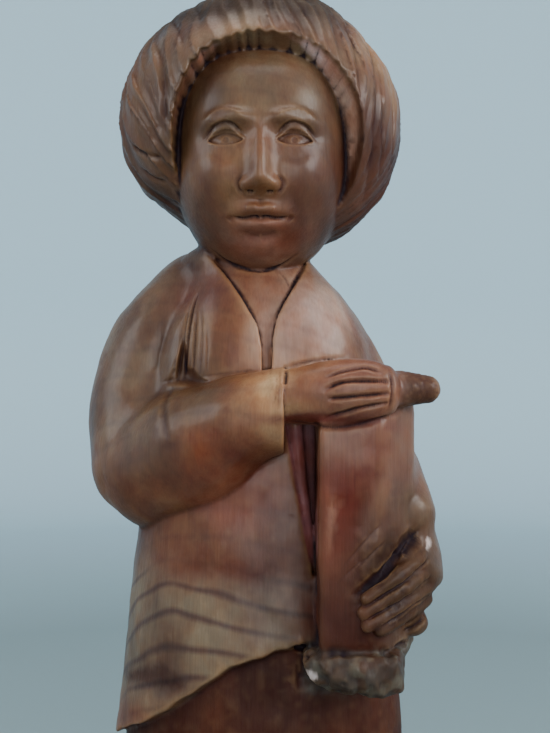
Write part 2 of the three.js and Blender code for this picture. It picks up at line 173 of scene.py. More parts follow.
# Limbs: x, y, z, half thickness and half width at each station
NECK = [(-0.4, 2, 210, 13, 13.2), (-0.2, 1, 226, 12.6, 13.2), (0, -1, 242, 12.6, 13.4)]
RIGHT_UPPER_ARM = [
    (-18, 3, 212.6, 14.5, 15.8),
    (-29.4, 3, 199.4, 16.6, 16.2),
    (-34.5, 1, 182, 17.5, 17),
    (-33.2, -5, 165, 17.5, 17),
]
RIGHT_FOREARM = [
    (-30, -9, 163.6, 17, 18.2),
    (-17, -21, 170.8, 15, 17.2),
    (-5, -28.4, 178.2, 12.8, 12.6),
    (8, -33, 182.2, 10.6, 11.2),
]
CUFF_END = 6.2
RIGHT_HAND = [
    (1, -33, 183.6, 6, 6.6),
    (9, -35.6, 185.2, 6.6, 7.6),
    (21, -38.4, 186.2, 6.6, 9.2),
    (29.5, -40, 186.8, 5.8, 8.3),
    (33.4, -40.4, 186.9, 5, 6.8),
]
BUNDLE_NECK = [(27, -37, 186.9, 5, 5), (37, -36.4, 187.2, 4.9, 4.9), (44.4, -36, 187.1, 3.8, 3.8)]
LEFT_UPPER_ARM = [
    (16.4, 4, 209.6, 13.5, 9.6),
    (23, 5, 197, 15.5, 11),
    (29, 6, 180, 15.5, 12.8),
    (31, 4, 164, 15, 13.5),
]
LEFT_FOREARM = [
    (31, 5, 168, 12.4, 14),
    (34.6, -6, 164, 10.4, 13.5),
    (38, -16, 158, 9.4, 12.5),
    (40.2, -24, 151, 8.6, 10.6),
]
LEFT_PALM = [
    (38.5, -14, 151.5, 9, 10),
    (41.2, -23, 145.6, 7.2, 11),
    (42.2, -29, 138.6, 5.8, 11.6),
]
# The left fingers, from the knuckle to the tip
LEFT_FINGERS = [
    [
        (45, -26, 143.6, 3, 2.7),
        (42, -33.5, 141.2, 2.8, 2.5),
        (37.5, -38.4, 138.6, 2.6, 2.3),
        (32.6, -42, 136, 2.3, 2.1),
        (27.8, -43.4, 132.8, 1.9, 1.7),
    ],
    [
        (45.4, -27, 139, 3, 2.7),
        (42.2, -34, 136.6, 2.8, 2.5),
        (37.4, -38.8, 134.2, 2.6, 2.4),
        (32, -42.4, 131.8, 2.4, 2.2),
        (27.2, -43.4, 129, 1.9, 1.8),
    ],
    [
        (46, -27, 133.6, 3, 2.7),
        (41.6, -34, 131.8, 2.8, 2.5),
        (37, -38.8, 129.6, 2.5, 2.3),
        (32, -42.4, 127.6, 2.3, 2.1),
        (28, -43.4, 125.8, 1.8, 1.7),
    ],
    [
        (44.6, -28, 129.4, 2.8, 2.5),
        (39.6, -34.6, 127.6, 2.6, 2.3),
        (35.6, -39.6, 126, 2.3, 2),
        (31.6, -42.6, 124.4, 1.9, 1.7),
    ],
]
HAND_HEEL = [(41, -24, 124.4, 4, 4.6), (41.2, -31, 123.6, 3.6, 4.4)]
HAND_THUMB = [(37.4, -24, 117.8, 3.2, 2.8), (37.8, -32, 117.4, 3, 2.6)]
SLOT_RIDGE = [
    (8.3, -24, 187, 2.6, 2.3),
    (9.9, -24.4, 172, 2.5, 2),
    (12.2, -25, 154, 2.3, 1.5),
    (14.4, -25.6, 138, 1.6, 0.9),
]
SHOE = [(0, -20, 15, 9, 10.5), (0, -33, 14, 7.4, 9.6), (0, -39.5, 12.6, 5, 8)]
SHOE_SPREAD = 17

# Places cut out: the notch where the coat closes over the robe, the slot beside the bundle and the V of the
# collar, which are seen from the front
HEM_NOTCH = [(11.4, -36, 115.8, 2.2, 2), (11.6, -26, 115.8, 1.8, 1.8)]
SLOT_OUTLINE = [(5.4, 184), (15.6, 184), (15.9, 131), (15, 131)]
SLOT_BACK = -22.5
COLLAR_OUTLINE = [
    (-15.5, 227),
    (-10, 218.8),
    (-5.3, 212.2),
    (-1.1, 204.6),
    (0.3, 198),
    (0.3, 190),
    (2.8, 190),
    (2.9, 198),
    (4.4, 206.6),
    (8, 213.8),
    (12.4, 221),
    (14, 226),
]

# The forms of the face, the same on both sides: x and z from its middle, reach in x and in z, and how far
# each stands out
FACE_FORMS = [
    (5.5, 10.3, 4, 2.2, 1.5),  # inner brow
    (12, 9.2, 5, 2.4, 1.5),  # outer brow
    (9.1, 5, 6, 3.3, -3.8),  # eye socket
    (9.4, 4.4, 4.4, 2.3, 2.9),  # the eyeball
    (0, 3, 2.8, 6.6, 2.3),  # bridge of the nose
    (0, -3.8, 3.3, 4.4, 2.8),
    (0, -7.2, 3.4, 2.5, 2.4),  # its tip
    (4, -8.2, 1.9, 1.9, 2),  # its wings
    (0, -11.6, 5, 1.5, -1),
    (13.5, -5.5, 6.5, 7, 1.5),  # cheek
    (0, -15.5, 9, 5.5, 1.7),
    (0, -14.6, 6, 1.5, 1.2),  # upper lip
    (0, -16.5, 6.6, 0.9, -1.6),
    (0, -18.4, 5, 1.6, 1.5),  # lower lip
    (0, -21.4, 5, 1.4, -0.8),
    (0, -25.6, 6, 4, 2),  # chin
]


def along(table, key):
    """The columns of a table at each key, on a smooth curve through its rows"""
    rows = np.array(table, float)
    keys, values = rows[:, 0], rows[:, 1:]
    last = len(rows) - 1
    after = np.minimum(np.arange(last + 1) + 1, last)
    before = np.maximum(np.arange(last + 1) - 1, 0)
    slopes = (values[after] - values[before]) / (keys[after] - keys[before])[:, None]
    key = np.clip(key, keys[0], keys[-1])
    i = np.clip(np.searchsorted(keys, key, side="right") - 1, 0, last - 1)
    span = (keys[i + 1] - keys[i])[:, None]
    t = (key - keys[i])[:, None] / span
    leave, arrive = slopes[i] * span, slopes[i + 1] * span
    step = values[i + 1] - values[i]
    cubic = leave + arrive - 2 * step
    square = 3 * step - 2 * leave - arrive
    return (values[i] + t * (leave + t * (square + t * cubic))).T


def steps(low, high, value):
    """0 below low and 1 above high, with a smooth step between them"""
    t = np.clip((value - low) / (high - low), 0, 1)
    return t * t * (3 - 2 * t)


def between(low, high, share):
    """The value that lies a share of the way from low to high"""
    return low + (high - low) * share


def region(points, edges):
    """1 in a region with soft edges and 0 outside it. Each edge is an axis, where along it the region
    begins, and where it is full"""
    share = np.ones(len(points))
    for axis, begins, full in edges:
        share = share * steps(begins, full, points[:, axis])
    return share


def unit(vectors):
    """The vectors at a length of 1"""
    return vectors / np.linalg.norm(vectors, axis=-1, keepdims=True)


def points_of(mesh):
    """The points of a mesh, in millimetres"""
    flat = np.empty(3 * len(mesh.vertices), np.float32)
    mesh.vertices.foreach_get("co", flat)
    return flat.reshape(-1, 3).astype(float) / MM


def set_points(mesh, points):
    """A mesh given its points, in millimetres"""
    mesh.vertices.foreach_set("co", (points * MM).astype(np.float32).ravel())
    mesh.update()


def shaped(name, bm, move=None):
    """A mesh object from a bmesh. move takes the drawn x, y and z and gives them in millimetres"""
    mesh = bpy.data.meshes.new(name)
    bm.to_mesh(mesh)
    bm.free()
    if move:
        drawn = points_of(mesh) * MM
        set_points(mesh, np.stack(move(*drawn.T), 1))
    made = bpy.data.objects.new(name, mesh)
    bpy.context.scene.collection.objects.link(made)
    return made


def as_drawn(x, y, z):
    """The move of a form that is drawn in millimetres, in its place"""
    return x, y, z


def ball(name, move, around, rows, finer=1):
    """A ball of radius 1 with its points moved. finer is how many times its facets are split"""
    bm = bmesh.new()
    share = 2**finer
    bmesh.ops.create_uvsphere(bm, u_segments=around // share, v_segments=rows // share, radius=1)
    made = shaped(name, bm)
    split = made.modifiers.new("split", "SUBSURF")
    split.subdivision_type = "SIMPLE"
    split.levels = finer
    split.render_levels = finer
    finished(made)
    round_again = unit(points_of(made.data) * MM)
    set_points(made.data, np.stack(move(*round_again.T), 1))
    return made


def spun(profile, around):
    """A bmesh of a profile, given as radius and height, spun a full turn"""
    bm = bmesh.new()
    verts = [bm.verts.new((radius, 0, height)) for radius, height in profile]
    edges = [bm.edges.new(pair) for pair in zip(verts, verts[1:])]
    bmesh.ops.spin(
        bm,
        geom=verts + edges,
        axis=(0, 0, 1),
        cent=(0, 0, 0),
        angle=math.tau,
        steps=around,
        use_merge=True,
    )
    bmesh.ops.remove_doubles(bm, verts=bm.verts, dist=1e-5)
    bmesh.ops.recalc_face_normals(bm, faces=bm.faces)
    return bm


def turned(name, move, around, rows):
    """A closed upright form in rings. move takes the share of the way out and the angle of each point, and
    its share of the way up, and gives x, y and z in millimetres"""
    side = [(1, i / rows) for i in range(rows + 1)]
    bm = spun([(0, 0), *side, (0, 1)], around)
    return shaped(name, bm, lambda px, py, t: move(np.hypot(px, py), np.arctan2(py, px), t))


def front_prism(name, outline, front, back):
    """A straight block whose outline is seen from the front"""
    bm = bmesh.new()
    face = bm.faces.new([bm.verts.new((x, front, z)) for x, z in outline])
    grown = bmesh.ops.extrude_face_region(bm, geom=[face])["geom"]
    moving = [item for item in grown if isinstance(item, bmesh.types.BMVert)]
    bmesh.ops.translate(bm, verts=moving, vec=(0, back - front, 0))
    bmesh.ops.recalc_face_normals(bm, faces=bm.faces)
    return shaped(name, bm, as_drawn)


def oblong(left, right, bottom, top):
    """The four corners of an oblong, seen from the front"""
    return [(left, bottom), (right, bottom), (right, top), (left, top)]


def limb(name, stations, around=64, rows=72, thick=FORWARD, bulge=(1, 1)):
    """A rounded limb through its stations. thick is the way its thickness is measured, and bulge says how
    round its two ends are"""
    last = len(stations) - 1
    table = [(i / last, *station) for i, station in enumerate(stations)]

    def move(px, py, pz):
        climb = np.arcsin(np.clip(pz, -1, 1)) / (math.pi / 2)
        t = (np.clip(climb / (1 - CAP_SHARE), -1, 1) + 1) / 2
        cap = np.clip(np.abs(climb) - (1 - CAP_SHARE), 0, None) / CAP_SHARE * math.pi / 2
        angle = np.arctan2(py, px)
        x, y, z, half_thick, half_wide = along(table, t)
        step = 0.01
        further = np.array(along(table, np.clip(t + step, 0, 1))[:3])
        before = np.array(along(table, np.clip(t - step, 0, 1))[:3])
        ahead = unit((further - before).T)
        out = unit(thick - (ahead @ thick)[:, None] * ahead)
        across = np.cross(ahead, out)
        end = np.sin(cap) * np.sign(climb) * np.minimum(half_thick, half_wide)
        end = end * np.where(climb < 0, bulge[0], bulge[1])
        ring = np.cos(cap)
        points = np.stack([x, y, z], 1) + ahead * end[:, None]
        points += out * (np.cos(angle) * ring * half_thick)[:, None]
        points += across * (np.sin(angle) * ring * half_wide)[:, None]
        return points.T

    return ball(name, move, around, rows)


def oval_reach(angle, half_width, half_depth, squareness):
    """How far an oval with flattened sides is from its middle, at an angle"""
    c = np.abs(np.cos(angle) / half_width) ** squareness
    s = np.abs(np.sin(angle) / half_depth) ** squareness
    return (c + s) ** (-1 / squareness)


def garment(name, table, height_at, inset_at, around, rows):
    """A closed garment of the half widths and depths in a table. height_at gives the height at an angle and
    a share of the way up, and inset_at how far the cloth lies inside the table's outline"""

    def move(ring, angle, t):
        z = height_at(angle, t)
        half_width, front, back, middle = along(table, z)
        depth = np.where(np.sin(angle) < 0, front, back)
        reach = (oval_reach(angle, half_width, depth, GARMENT_SQUARENESS) - inset_at(angle, z)) * ring
        return middle + reach * np.cos(angle), reach * np.sin(angle), z

    return turned(name, move, around, rows)


def finished(obj):
    """The object with its modifiers applied"""
    graph = bpy.context.evaluated_depsgraph_get()
    mesh = bpy.data.meshes.new_from_object(obj.evaluated_get(graph))
    obj.modifiers.clear()
    obj.data = mesh
    return obj


def smooth(obj):
    """The object shaded as one smooth surface"""
    for face in obj.data.polygons:
        face.use_smooth = True
    return obj


def cut(obj, *tools):
    """The object with the shapes of the tools cut out of it"""
    for tool in tools:
        saw = obj.modifiers.new("saw", "BOOLEAN")
        saw.operation = "DIFFERENCE"
        saw.solver = "MANIFOLD"
        saw.object = tool
    finished(obj)
    for tool in tools:
        bpy.data.objects.remove(tool)
    return obj


def one_block(name, parts):
    """Overlapping closed parts grown into one closed block with even facets"""
    bm = bmesh.new()
    for part in parts:
        bm.from_mesh(part.data)
        bpy.data.objects.remove(part)
    block = shaped(name, bm)
    weld = block.modifiers.new("one block", "REMESH")
    weld.mode = "VOXEL"
    weld.voxel_size = FACET * MM
    weld.use_smooth_shade = True
    return finished(block)


def hem_height(angle):
    """The height of the coat's hem at an angle round the body"""
    return along(HEM, np.degrees(angle))[0]


def coat():
    """The long coat, open at the collar and closed over the robe, with a slot beside the bundle"""

    def hem(angle):
        return hem_height(angle) + 0.3 * np.sin(13 * angle) + 0.2 * np.sin(31 * angle + 2)

    def height(angle, t):
        # the rings crowd at the shoulders
        return between(hem(angle), COAT_TOP, 1 - (1 - t) ** 1.3)

    return cut(
        garment("coat", COAT, height, lambda angle, z: 0, around=180, rows=120),
        front_prism("collar cut", COLLAR_OUTLINE, -OUTSIDE, 0),
        front_prism("slot cut", SLOT_OUTLINE, -OUTSIDE, SLOT_BACK),
        limb("notch", HEM_NOTCH, around=24, rows=24, thick=UPWARD),
    )


def shirt():
    """The shirt that shows in the V of the collar"""

    def height(angle, t):
        return between(SHIRT["bottom"], SHIRT["top"], t)

    return garment("shirt", COAT, height, lambda angle, z: SHIRT["inset"], around=120, rows=24)


def robe():
    """The robe under the coat, with shallow folds that deepen towards the base"""
    bottom = BASE["height"] - 2

    def height(angle, t):
        return between(bottom, ROBE_TOP, t)

    def folds(angle, z):
        share = np.clip((FOLDS["top"] - z) / (FOLDS["top"] - bottom), 0, 1)
        wander = 0.5 * np.sin(2 * angle + 0.7) + 0.3 * np.sin(3 * angle)
        return FOLDS["depth"] * share * (1 + np.cos(FOLDS["count"] * angle + wander))

    return garment("robe", ROBE, height, folds, around=240, rows=60)


def bundle():
    """The tall wrapped bundle, with flat faces and soft edges between them"""
    bottom, top = BUNDLE_SCALE[0][0], BUNDLE_SCALE[-1][0]

    def move(ring, angle, t):
        z = between(bottom, top, t)
        near = sum(
            (np.clip(np.cos(angle - math.radians(way)), 0, None) / distance) ** BUNDLE_SHARPNESS
            for way, distance in BUNDLE_FACES
        )
        reach = near ** (-1 / BUNDLE_SHARPNESS) * along(BUNDLE_SCALE, z)[0] * ring
        return BUNDLE_MIDDLE[0] + reach * np.cos(angle), BUNDLE_MIDDLE[1] + reach * np.sin(angle), z

    return turned("bundle", move, around=240, rows=80)


def bunch():
    """The bunched edge under the bundle: a lumpy roll, lower at its outer end"""
    bottom, top = BUNCH[0][0], BUNCH[-1][0]

    def move(ring, angle, t):
        z = between(bottom, top, t)
        half_width, half_depth, x, y = along(BUNCH, z)
        lumps = 0.4 * (np.sin(7 * angle + 1) + np.sin(12 * angle + z / 2))
        reach = ring * (oval_reach(angle, half_width, half_depth, BUNCH_SQUARENESS) + lumps)
        drop = BUNCH_TILT * reach * np.cos(angle) * (1 - t)
        return x + reach * np.cos(angle), y + reach * np.sin(angle), z + drop

    return turned("bunch", move, around=200, rows=30)


def face_relief(x, z):
    """How far the forms of the face stand out at a place seen from the front"""
    return sum(
        rise * np.exp(-(((np.abs(x) - at_x) / reach_x) ** 2) - ((z - at_z) / reach_z) ** 2)
        for at_x, at_z, reach_x, reach_z, rise in FACE_FORMS
    )


def head():
    """The head, with the forms of the face"""

    def move(px, py, pz):
        # the points crowd on the face, where the fine forms are
        turn = np.arctan2(px, -py)
        angle = turn - 0.5 * np.sin(turn)
        climb = np.arcsin(np.clip(pz, -1, 1))
        rise = climb - 0.2 * np.sin(2 * climb)
        # the top of the head is broader than the jaw
        full = np.where(rise > 0, 2 / 2.8, 1)
        outline = oval_reach(angle, FACE["depth"], FACE["half_width"], FACE_SQUARENESS)
        reach = np.abs(np.cos(rise)) ** full * outline
        x, y = np.sin(angle) * reach, -np.cos(angle) * reach
        height = np.where(rise > 0, FACE["up"], FACE["down"])
        z = np.sign(rise) * np.abs(np.sin(rise)) ** full * height
        relief = np.where(y < 0, face_relief(x, z) * np.minimum(1, -y / 12), 0)
        return FACE["x"] + x, FACE["y"] + y - relief, FACE["z"] + z

    return ball("head", move, around=320, rows=240, finer=3)


def flute_cut(turn, climb):
    """How deep the gouge went at an angle round the crown and a height: long hollow strokes, no two alike,
    and the sharp partings between some of them"""
    sweep = FLUTES["sweep"] * np.sin(turn + 0.3) * (1 - climb) ** 1.5
    place = turn / math.tau * FLUTES["count"] + sweep * 4
    place += 0.35 * np.sin(5 * turn + 3 * climb) + 0.2 * np.sin(11 * turn - 5 * climb)
    number = np.floor(place)
    across = 2 * (place - number) - 1
    lively = 0.5 + 0.5 * np.sin(number * 12.9898)
    stroke = 0.75 + 0.25 * np.sin(6 * climb + number * 4.1)
    fade = np.clip(np.sqrt(1 - climb**2) * 3 - 0.1, 0, 1)
    hollow = (0.5 + 0.6 * lively) * stroke * (1 - across**2)
    parting = 0.9 * np.exp(-(((1 - across) / 0.22) ** 2)) * (np.sin(number * 5.3) > 0.1)
    return fade * hollow, fade * parting


def fringe_nick(angle):
    """How deep the knife went between the locks of the fringe, deepest over the forehead"""
    place = angle / math.tau * FRINGE["count"] + 0.3 * np.sin(7 * angle)
    across = np.abs(2 * (place - np.floor(place)) - 1)
    uneven = 0.65 + 0.35 * np.sin(np.floor(place) * 7.7)
    at_side = np.where(np.cos(angle) < 0, 0.35, 0.08)
    overhead = steps(0.45, 0.85, np.sin(angle))
    return FRINGE["depth"] * uneven * across**1.6 * (at_side + (1 - at_side) * overhead)


def opening_reach(angle):
    """How far the opening round the face reaches from its middle, seen from the front"""
    half_width = np.where(np.cos(angle) < 0, OPENING["right"], OPENING["left"])
    return oval_reach(angle, half_width, OPENING["half_height"], OPENING["squareness"])


def opening_depth(angle):
    """How far back the opening round the face goes"""
    return OPENING["depth"] + OPENING["deeper"] * steps(0.1, 0.9, -np.cos(angle))


def tipped(y, z, angle):
    """y and z turned about the X axis"""
    c, s = math.cos(angle), math.sin(angle)
    return y * c - z * s, z * c + y * s


def hair():
    """The round bob, gouged in flutes that run down from the crown, with the opening for the face"""

    def move(px, py, pz):
        hollow = FLUTES["depth"] * sum(flute_cut(np.arctan2(py, px), pz))
        y, z = tipped(py, pz, -CROWN_TILT)
        outline = along(HAIR_OUTLINE, (np.degrees(np.arctan2(z, px)) + 90) % 360 - 90)[0]
        depth = np.where(y < 0, HAIR["front"], HAIR["back"])
        reach = 1 / np.sqrt((1 - y * y) / outline**2 + y * y / depth**2) + FLUTES["ridge"] - hollow
        return HAIR["x"] + px * reach, HAIR["y"] + y * reach, HAIR["z"] + z * reach

    def opening(px, py, pz):
        angle, level = np.arctan2(-py, px), np.hypot(px, py)
        reach = level * (opening_reach(angle) + fringe_nick(angle))
        return (
            OPENING["x"] + reach * np.cos(angle),
            OPENING["y"] + pz * opening_depth(angle),
            OPENING["z"] + reach * np.sin(angle),
        )

    below = oblong(-OUTSIDE, OUTSIDE, 200, HAIR["floor"])
    return cut(
        ball("hair", move, around=640, rows=320, finer=4),
        ball("face opening", opening, around=416, rows=160, finer=4),
        front_prism("hair floor", below, -OUTSIDE, OUTSIDE),
    )


def sleeve_to_cuff():
    """The right forearm, cut off square at the cuff"""
    return cut(
        limb("right forearm", RIGHT_FOREARM, around=120, rows=120),
        front_prism("cuff end", oblong(CUFF_END, OUTSIDE, 150, 220), -OUTSIDE, OUTSIDE),
    )


def base():
    """The low base, an oblong with round corners and a softened edge"""
    bm = bmesh.new()
    bmesh.ops.create_cube(bm, size=1)
    bmesh.ops.scale(bm, vec=(BASE["width"], BASE["depth"], BASE["height"]), verts=bm.verts)
    upright = [edge for edge in bm.edges if abs(edge.verts[0].co.z - edge.verts[1].co.z) > 1]
    rounding = {"affect": "EDGES", "profile": 0.5, "material": -1}
    bmesh.ops.bevel(bm, geom=upright, offset=BASE["corner"], segments=24, **rounding)
    flat = [edge for edge in bm.edges if abs(edge.verts[0].co.z - edge.verts[1].co.z) < 1e-4]
    bmesh.ops.bevel(bm, geom=flat, offset=BASE["edge"], segments=3, **rounding)
    bmesh.ops.translate(bm, verts=bm.verts, vec=(0, -BODY_BEHIND_BASE, BASE["height"] / 2))
    return shaped("base", bm, as_drawn)


def figure_block():
    """All forms of the figure, grown into one block"""
    hands = [
        limb("right hand", RIGHT_HAND, around=80, rows=80, bulge=(1, 0.7)),
        limb("left palm", LEFT_PALM, around=80, rows=60, thick=FORWARD + SIDEWAYS),
        limb("hand heel", HAND_HEEL, around=40, rows=30, thick=UPWARD),
        limb("hand thumb", HAND_THUMB, around=40, rows=30, thick=UPWARD),
    ]
    hands += [limb("finger", finger, around=24, rows=40) for finger in LEFT_FINGERS]
    arms = [
        limb("right upper arm", RIGHT_UPPER_ARM, around=120, rows=120),
        sleeve_to_cuff(),
        limb("left upper arm", LEFT_UPPER_ARM, around=120, rows=120),
        limb("left forearm", LEFT_FOREARM, around=80, rows=60, thick=SIDEWAYS),
    ]
    shoes = []
    for side in (-1, 1):
        stations = [(x + side * SHOE_SPREAD, *rest) for x, *rest in SHOE]
        shoes.append(limb("shoe", stations, around=60, rows=40, thick=UPWARD))
    body = [coat(), shirt(), robe(), head(), hair(), bundle(), bunch(), base()]
    body.append(limb("neck", NECK, around=80, rows=40))
    body.append(limb("bundle neck", BUNDLE_NECK, around=48, rows=48))
    body.append(limb("slot ridge", SLOT_RIDGE, around=24, rows=48))
    return one_block("carved_santon", body + arms + hands + shoes)


# Where forms are rubbed down to run into each other: x, y and z, how far round it, and how hard
RUBBED = [
    (-24, -8, 209, 11, 0.4),
    (-30, 6, 203, 13, 0.4),
    (-24, 12, 206, 12, 0.4),
    (-19, -9, 220, 9, 0.8),
    (-31, -15, 184, 10, 1),
    (-37, -12, 180, 11, 1),
    (-42, -6, 176, 10, 1),
    (-26, -19, 183, 6, 0.6),
    (-35, 2, 172, 15, 0.5),
    (-32, -14, 168, 14, 0.5),
    (22, -8, 213, 12, 1),
    (28, -9, 203, 12, 1),
    (33, -8, 192, 11, 1),
    (21, 2, 214, 14, 0.6),
    (25, 8, 208, 13, 0.4),
    (32, 4, 176, 13, 0.4),
    (36, -8, 166, 10, 0.4),
    (34, 12, 160, 12, 0.4),
    (41, -22, 153, 9, 0.8),
    (45, -20, 150, 9, 0.8),
    (46, -27, 147, 8, 1),
    (26, 12, 150, 10, 0.4),
    (10, -35, 186, 4, 0.4),
    (39, -30, 172, 10, 0.5),
    (42, -24, 163, 11, 1),
    (42, -16, 170, 10, 1),
    (44, -14, 158, 9, 0.8),
    (0, -8, 226, 10, 0.4),
]
RUBBING = {"all over": 4, "joints": 110}  # how many times
RUB = 0.6  # the most that a point moves towards the middle of its neighbours each time
# Where the knife worked closest, so the mesh is twice as fine: the least and the most x, y and z
CLOSE_WORK = [
    ((-21, -60, 219), (22, -22, 284)),
    ((8, -60, 177), (46, -26, 197)),
    ((24, -60, 112), (50, -24, 154)),
    ((-27, -60, 186), (-12, -12, 217)),
]

# Knife and gouge strokes: width, depth, and the x and z of the path as seen from the front. A depth below 0
# raises a ridge
STROKES = [
    # between the right fingers
    (0.9, 0.8, [(16.9, 190.2), (22.1, 192), (27.3, 192.8), (31.4, 191.6)]),
    (1, 1, [(16.9, 187.1), (20.8, 188.9), (26, 189.4), (34, 189.2)]),
    (1, 1, [(17.7, 184.8), (23.4, 185.3), (34.4, 186.3)]),
    (1, 1, [(17.7, 179.8), (22.1, 181.1), (26, 182.4), (34, 183.8)]),
    (1, 0.8, [(33.7, 192), (34.3, 188.4), (34.2, 185.3), (33.6, 182)]),
    (1.3, 0.8, [(9, 178.4), (14, 177.6), (22.2, 177.4), (31.4, 179.4), (37.3, 181.6)]),
    (1.1, 0.5, [(7.4, 192.8), (11, 194), (16.4, 195), (23.7, 195.6)]),
    # the cuff
    (0.9, 0.9, [(6.8, 193), (6.7, 190.6), (6.6, 188.4)]),
    (0.9, 0.5, [(6.6, 188.6), (6.4, 184.4), (6.4, 178.6)]),
    (0.7, 0.35, [(5.2, 192.8), (5, 188.3), (4.7, 182.4)]),
    (0.6, 0.3, [(4.2, 191.7), (4.3, 187.6), (3.8, 183.9)]),
    # between the left fingers, and the black gap over them
    (1.8, 2.1, [(42.6, 148.6), (39.4, 146.2), (36.4, 143.2), (33.4, 140), (29.6, 136.8), (25.6, 133.6)]),
    (3.2, 1.8, [(42.2, 148), (40, 145.8), (37.4, 143.4)]),
    (0.8, 0.7, [(45.4, 141.4), (42, 139), (37.4, 136.3), (32.3, 133.8), (27.2, 130.8)]),
    (0.8, 0.7, [(45.8, 136.3), (42, 134.2), (37.2, 131.9), (32, 129.7), (27.4, 127.4)]),
    (0.8, 0.7, [(45.3, 131.5), (40.6, 129.7), (36.3, 127.8), (31.8, 126)]),
    (1.3, 1, [(44.2, 125.7), (41.5, 123.5), (38.6, 121.9)]),
    (1.3, 1, [(40.4, 118.9), (37.3, 118.7), (35.2, 118.5)]),
    # the edges of the coat over the shirt
    (0.8, 0.6, [(-15.6, 226), (-10.2, 219.6), (-5.4, 213), (-1.4, 205.6), (0.2, 199.2), (0.5, 191.4)]),
    (0.8, 0.7, [(13.4, 225), (8.2, 215), (4.8, 208), (3.2, 200.6), (2.7, 191.4)]),
    (1, 0.6, [(-14.1, 226.6), (-10.4, 223.6), (-5.2, 221.2), (0.2, 220.4), (5.9, 222.2), (10.1, 225)]),
    (0.7, 0.3, [(5, 220.4), (7.4, 217.4), (8, 215.6)]),
    # the crease under the right arm, with its scratches
    (0.9, 0.7, [(-18.1, 214.5), (-19.6, 209.6), (-20.6, 203), (-21.2, 196), (-21.6, 190)]),
    (0.7, 0.5, [(-18.5, 208), (-18.7, 199.3), (-19.2, 190.6)]),
    (0.6, 0.3, [(-17, 209), (-16.6, 200.6), (-17.2, 191)]),
    (0.5, 0.2, [(-15.2, 205), (-14.8, 197.8), (-15, 191.6)]),
    (0.6, 0.3, [(-20.4, 211), (-21.8, 202), (-22.8, 194)]),
    (1.8, 0.4, [(-25, 187.6), (-26.3, 184), (-26.2, 179), (-25.4, 174)]),
    (0.7, 0.2, [(-17, 190.4), (-12, 191), (-4, 192), (4, 192.6)]),
    (0.8, 0.5, [(15.3, 176), (15.3, 162), (15.3, 148), (15.3, 134)]),
    (1.4, 0.9, [(14.8, 146), (15.1, 140), (15.2, 136), (15.3, 131)]),
    # where the coat closes, from the slot down to the hem
    (0.9, 0.8, [(15.3, 133.6), (15.4, 126.7), (15.4, 117.6)]),
    (1.8, 1.6, [(8.6, 116.6), (11, 115.6), (13, 116.6)]),
    # scratches across the bundle
    (0.6, 0.18, [(22, 141), (27, 147), (32, 152)]),
    (0.5, 0.18, [(25, 140), (29, 144), (33, 147.6)]),
    (0.5, 0.15, [(20, 136), (25, 141), (29, 143.6)]),
    (0.5, 0.15, [(18.6, 158), (18.8, 150), (19, 144)]),
    (0.5, 0.15, [(24.4, 173), (24.6, 168), (24.8, 160)]),
    # deeper cuts in the hair
    (2.4, 0.9, [(-30.4, 286), (-27.4, 276), (-26.6, 266), (-26.2, 258)]),
    (2.2, 0.8, [(-34.6, 281), (-31.4, 272), (-28.4, 264)]),
    (2.2, 0.7, [(-27, 295), (-23.4, 287), (-21, 281)]),
    (2.4, 0.7, [(-20.4, 301), (-18, 293), (-16.6, 287.6)]),
    (2, 0.6, [(-11, 304), (-9.8, 297), (-9.4, 291)]),
    (2.2, 0.6, [(3, 304), (2.6, 297), (2.6, 292)]),
    (2.2, 0.6, [(14, 302), (12.8, 295), (12.2, 289.6)]),
    (2.4, 0.9, [(23.6, 299), (25.4, 289), (27, 278), (27.8, 268)]),
    (2.4, 0.9, [(29.8, 293), (32, 281), (32.6, 268), (31.6, 254), (29.4, 240)]),
    (1.3, 0.8, [(-36.5, 256), (-32, 252.6), (-27.4, 251.4)]),
    (1.3, 0.8, [(-34.6, 250), (-30.8, 247), (-26.8, 245.4)]),
    (1, 0.5, [(-39.4, 274), (-36.6, 267), (-31.8, 259), (-28.6, 255)]),
    (1.1, 0.6, [(-37.4, 280), (-34, 270), (-30, 262), (-27.4, 257)]),
    (1.1, 0.5, [(35.4, 279), (38, 264), (37.4, 252)]),
    (1.1, 0.6, [(31.6, 290), (33.6, 276), (34.4, 258), (33.4, 246)]),
]

# The hollow between the right sleeve and the chest: a long valley, and a scratched pocket at its foot. The
# pocket is given as height, the x of its middle and half its width
VALLEY = {"x": -19.8, "half_width": 3.4, "depth": 1.5, "edges": [(Z, 216, 205), (Z, 187, 190)]}
POCKET = [(188.4, -20.8, 5.2), (190.4, -21.32, 3), (193, -22, 1.5), (200, -21.8, 0.8)]
POCKET_EDGES = [(Z, 187.4, 189.4), (Z, 204, 193)]

# Places that were left rough: the torn bunched edge, the end of the bundle by the right hand, and the left
# hand
TORN = [(Z, 121, 117.5), (Z, 103, 106), (X, 9, 11), (Y, -10, -18)]
PITTED = [(X, 35, 36.5), (Z, 180, 182), (Z, 196, 194), (Y, -24, -28)]
ROUGH_HAND = [(X, 24, 27), (Z, 116, 119), (Z, 154, 150), (Y, -30, -34)]
# Layers of lumps: how far each stands out, its size and its seed
UNEVEN = [(0.3, 9, 1), (0.14, 4, 2), (0.05, 1.7, 3)]
TORN_LUMPS = [(0.45, 3.6, 4), (0.5, 1.7, 5)]
RING_BENDS = [(3, 26, 31), (1.1, 9, 32)]

# The eyes of the face, the same on both sides, measured from the middle of the face
EYE = {"x": 9.3, "z": 4.3, "half_length": 4.9, "above": 2, "below": 1.5, "depth": 1}
EYEBALL = {"rise": 0.9, "half_width": 3.4, "half_height": 2.6, "pupil": 0.3}
